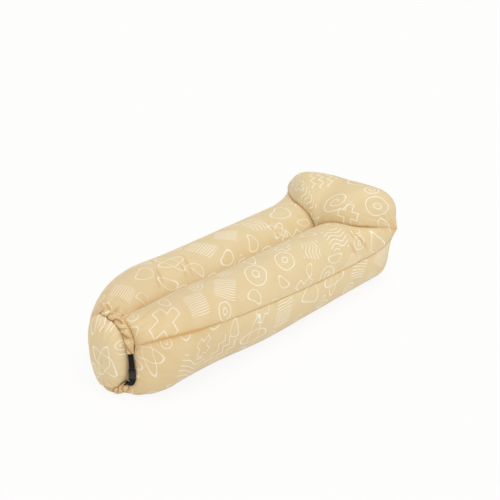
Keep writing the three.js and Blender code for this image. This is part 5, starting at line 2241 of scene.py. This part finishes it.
@dataclass
class InnerParts:
    """What is sewn or welded inside: the baffle, the seam tapes and the stiffening strips."""

    hull: Hull
    inner_ground: Colour = srgb(230, 220, 192)
    inner_depth: Colour = srgb(216, 202, 168)
    tape_ground: Colour = srgb(216, 212, 200)
    tape_depth: Colour = srgb(200, 194, 178)
    strip_ground: Colour = srgb(238, 237, 230)
    strip_rubbed: Colour = srgb(206, 204, 196)
    unfold_angle: float = 66

    def copied(self, node: str, cuts: int) -> Any:
        """A finer piece in the place of a model node.

        Args:
            node: the model node.
            cuts: how many times each edge is cut.

        Returns:
            The new piece.
        """
        piece = Bench.node_copy(f"{node}_piece", node)
        Bench.pick(piece)
        bpy.ops.object.mode_set(mode="EDIT")
        bpy.ops.mesh.select_all(action="SELECT")
        bpy.ops.mesh.subdivide(number_cuts=cuts)
        bpy.ops.uv.smart_project(
            angle_limit=math.radians(self.unfold_angle), correct_aspect=False, scale_to_bounds=False
        )
        bpy.ops.object.mode_set(mode="OBJECT")
        places = np.array([vertex.co for vertex in piece.data.vertices]) / MM
        piece.data.vertices.foreach_set("co", (self.hull.eased(places) * MM).ravel())
        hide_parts(node)
        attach(piece, BODY)
        return piece

    def build(self) -> None:
        """Dresses every inner part."""
        tapes = sorted(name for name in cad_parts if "tape" in name)
        film = Cloth("seam_film", self.tape_ground, self.tape_depth, pattern=None, rough=0.4).made()
        for name in tapes:
            Bench.dress(self.copied(name, 1), film)
        baffle = self.copied("centre_baffle", 3)
        weave = Cloth("inner_weave", self.inner_ground, self.inner_depth, pattern=None, rough=0.6)
        Bench.dress(baffle, weave.made())
        area = Bench.cloth_area(baffle) / 2
        strip = Plastic("strip_film", self.strip_ground, self.strip_rubbed, 0.45).made()
        for name in ("mouth_strip_outer", "mouth_strip_inner"):
            Bench.dress(self.copied(name, 1), strip)
        log.info("inner parts: %d tapes, a baffle and two strips", len(tapes))


# The studio


@dataclass(frozen=True)
class Sky:
    """A broad soft light from one direction, as from a large studio ceiling bank."""

    name: str
    towards: tuple[float, float, float]
    spread: float
    level: float
    tint: Colour = (1.0, 1.0, 1.0)

    def hang(self) -> None:
        """Adds the light."""
        light = bpy.data.lights.new(self.name, "SUN")
        light.angle = math.radians(self.spread)
        light.energy = self.level
        light.color = self.tint
        made = bpy.data.objects.new(self.name, light)
        made.rotation_euler = Vector(self.towards).to_track_quat("-Z", "Y").to_euler()
        bpy.context.scene.collection.objects.link(made)


@dataclass(frozen=True)
class Studio:
    """Camera, floor, world and lamps."""

    camera_place: tuple[float, float, float] = (-4.12, -3.735, 3.011)
    camera_tilt: float = 64.747
    camera_heading: float = -48.686
    lens: float = 85.57
    sensor: float = 36.0
    floor_size: float = 80.0
    floor_drop: float = 0.0006
    floor_colour: Colour = (0.88, 0.87, 0.85)
    glow: float = 0.89
    world_level: float = 0.62
    world_tint: Colour = (1.0, 0.972, 0.93)
    white: Colour = (1.0, 1.0, 1.0)
    lights: tuple[Sky, ...] = (
        Sky("key", (0.12, 0.2, -0.95), 70.0, 1.1),
        Sky("fill", (0.5, 0.75, -0.3), 80.0, 0.5, (1.0, 0.98, 0.95)),
    )

    def camera(self) -> None:
        """Puts the camera where the photograph was taken from."""
        data = bpy.data.cameras.new("camera")
        data.sensor_width = self.sensor
        data.lens = self.lens
        made = bpy.data.objects.new("camera", data)
        made.location = self.camera_place
        angles = (self.camera_tilt, 0, self.camera_heading)
        made.rotation_euler = [math.radians(angle) for angle in angles]
        bpy.context.scene.collection.objects.link(made)
        bpy.context.scene.camera = made

    def seen(self, recipe: Recipe) -> Wire:
        """1 for what is seen, straight or in gloss and glass, and 0 for light that spreads.

        Args:
            recipe: the material that asks.

        Returns:
            1 or 0.
        """
        path = recipe.node("ShaderNodeLightPath")
        kinds = ("Camera", "Glossy", "Transmission")
        camera, gloss, glass = (Wire(recipe, path.outputs[f"Is {kind} Ray"]) for kind in kinds)
        return camera.most(gloss).most(glass)

    def floor(self) -> None:
        """A plain floor that keeps the shadow."""
        bpy.ops.object.select_all(action="DESELECT")
        bpy.ops.mesh.primitive_plane_add(size=self.floor_size, location=(0, 0, -self.floor_drop))
        plane = bpy.context.active_object
        plane.name = "floor"
        recipe = Recipe("floor_paint")
        plain = recipe.node("ShaderNodeBsdfDiffuse", None, Color=self.floor_colour).outputs[0]
        glow = recipe.node("ShaderNodeEmission", None, Color=self.white, Strength=1.0).outputs[0]
        share = self.seen(recipe) * self.glow
        lit = recipe.node("ShaderNodeMixShader", None, i0=share, i1=plain, i2=glow)
        Bench.dress(plane, recipe.shown(lit))

    def world(self) -> None:
        """An even pale light from all round, white where the camera sees it."""
        recipe = Recipe("world", world=True)
        ray = recipe.node("ShaderNodeLightPath").outputs["Is Camera Ray"]
        even = recipe.node(
            "ShaderNodeBackground", None, Color=self.world_tint, Strength=self.world_level
        ).outputs[0]
        white = recipe.node("ShaderNodeBackground", None, Color=self.white).outputs[0]
        lit = recipe.node("ShaderNodeMixShader", None, i0=ray, i1=even, i2=white)
        bpy.context.scene.world = recipe.shown(lit)

    def build(self) -> None:
        """Sets the whole stage."""
        self.camera()
        self.floor()
        self.world()
        for light in self.lights:
            light.hang()
        bpy.context.scene.view_settings.view_transform = "Standard"


def main() -> None:
    """Builds the studio and the lounger, piece by piece."""
    logging.basicConfig(level=logging.INFO, format="%(name)s: %(message)s")
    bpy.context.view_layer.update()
    Studio().build()
    hull = Hull()
    Shell(hull).build()
    RolledMouth(hull.mouth).build()
    Buckle(hull.mouth).build()
    InnerParts(hull).build()


if __name__ == "__main__":
    main()
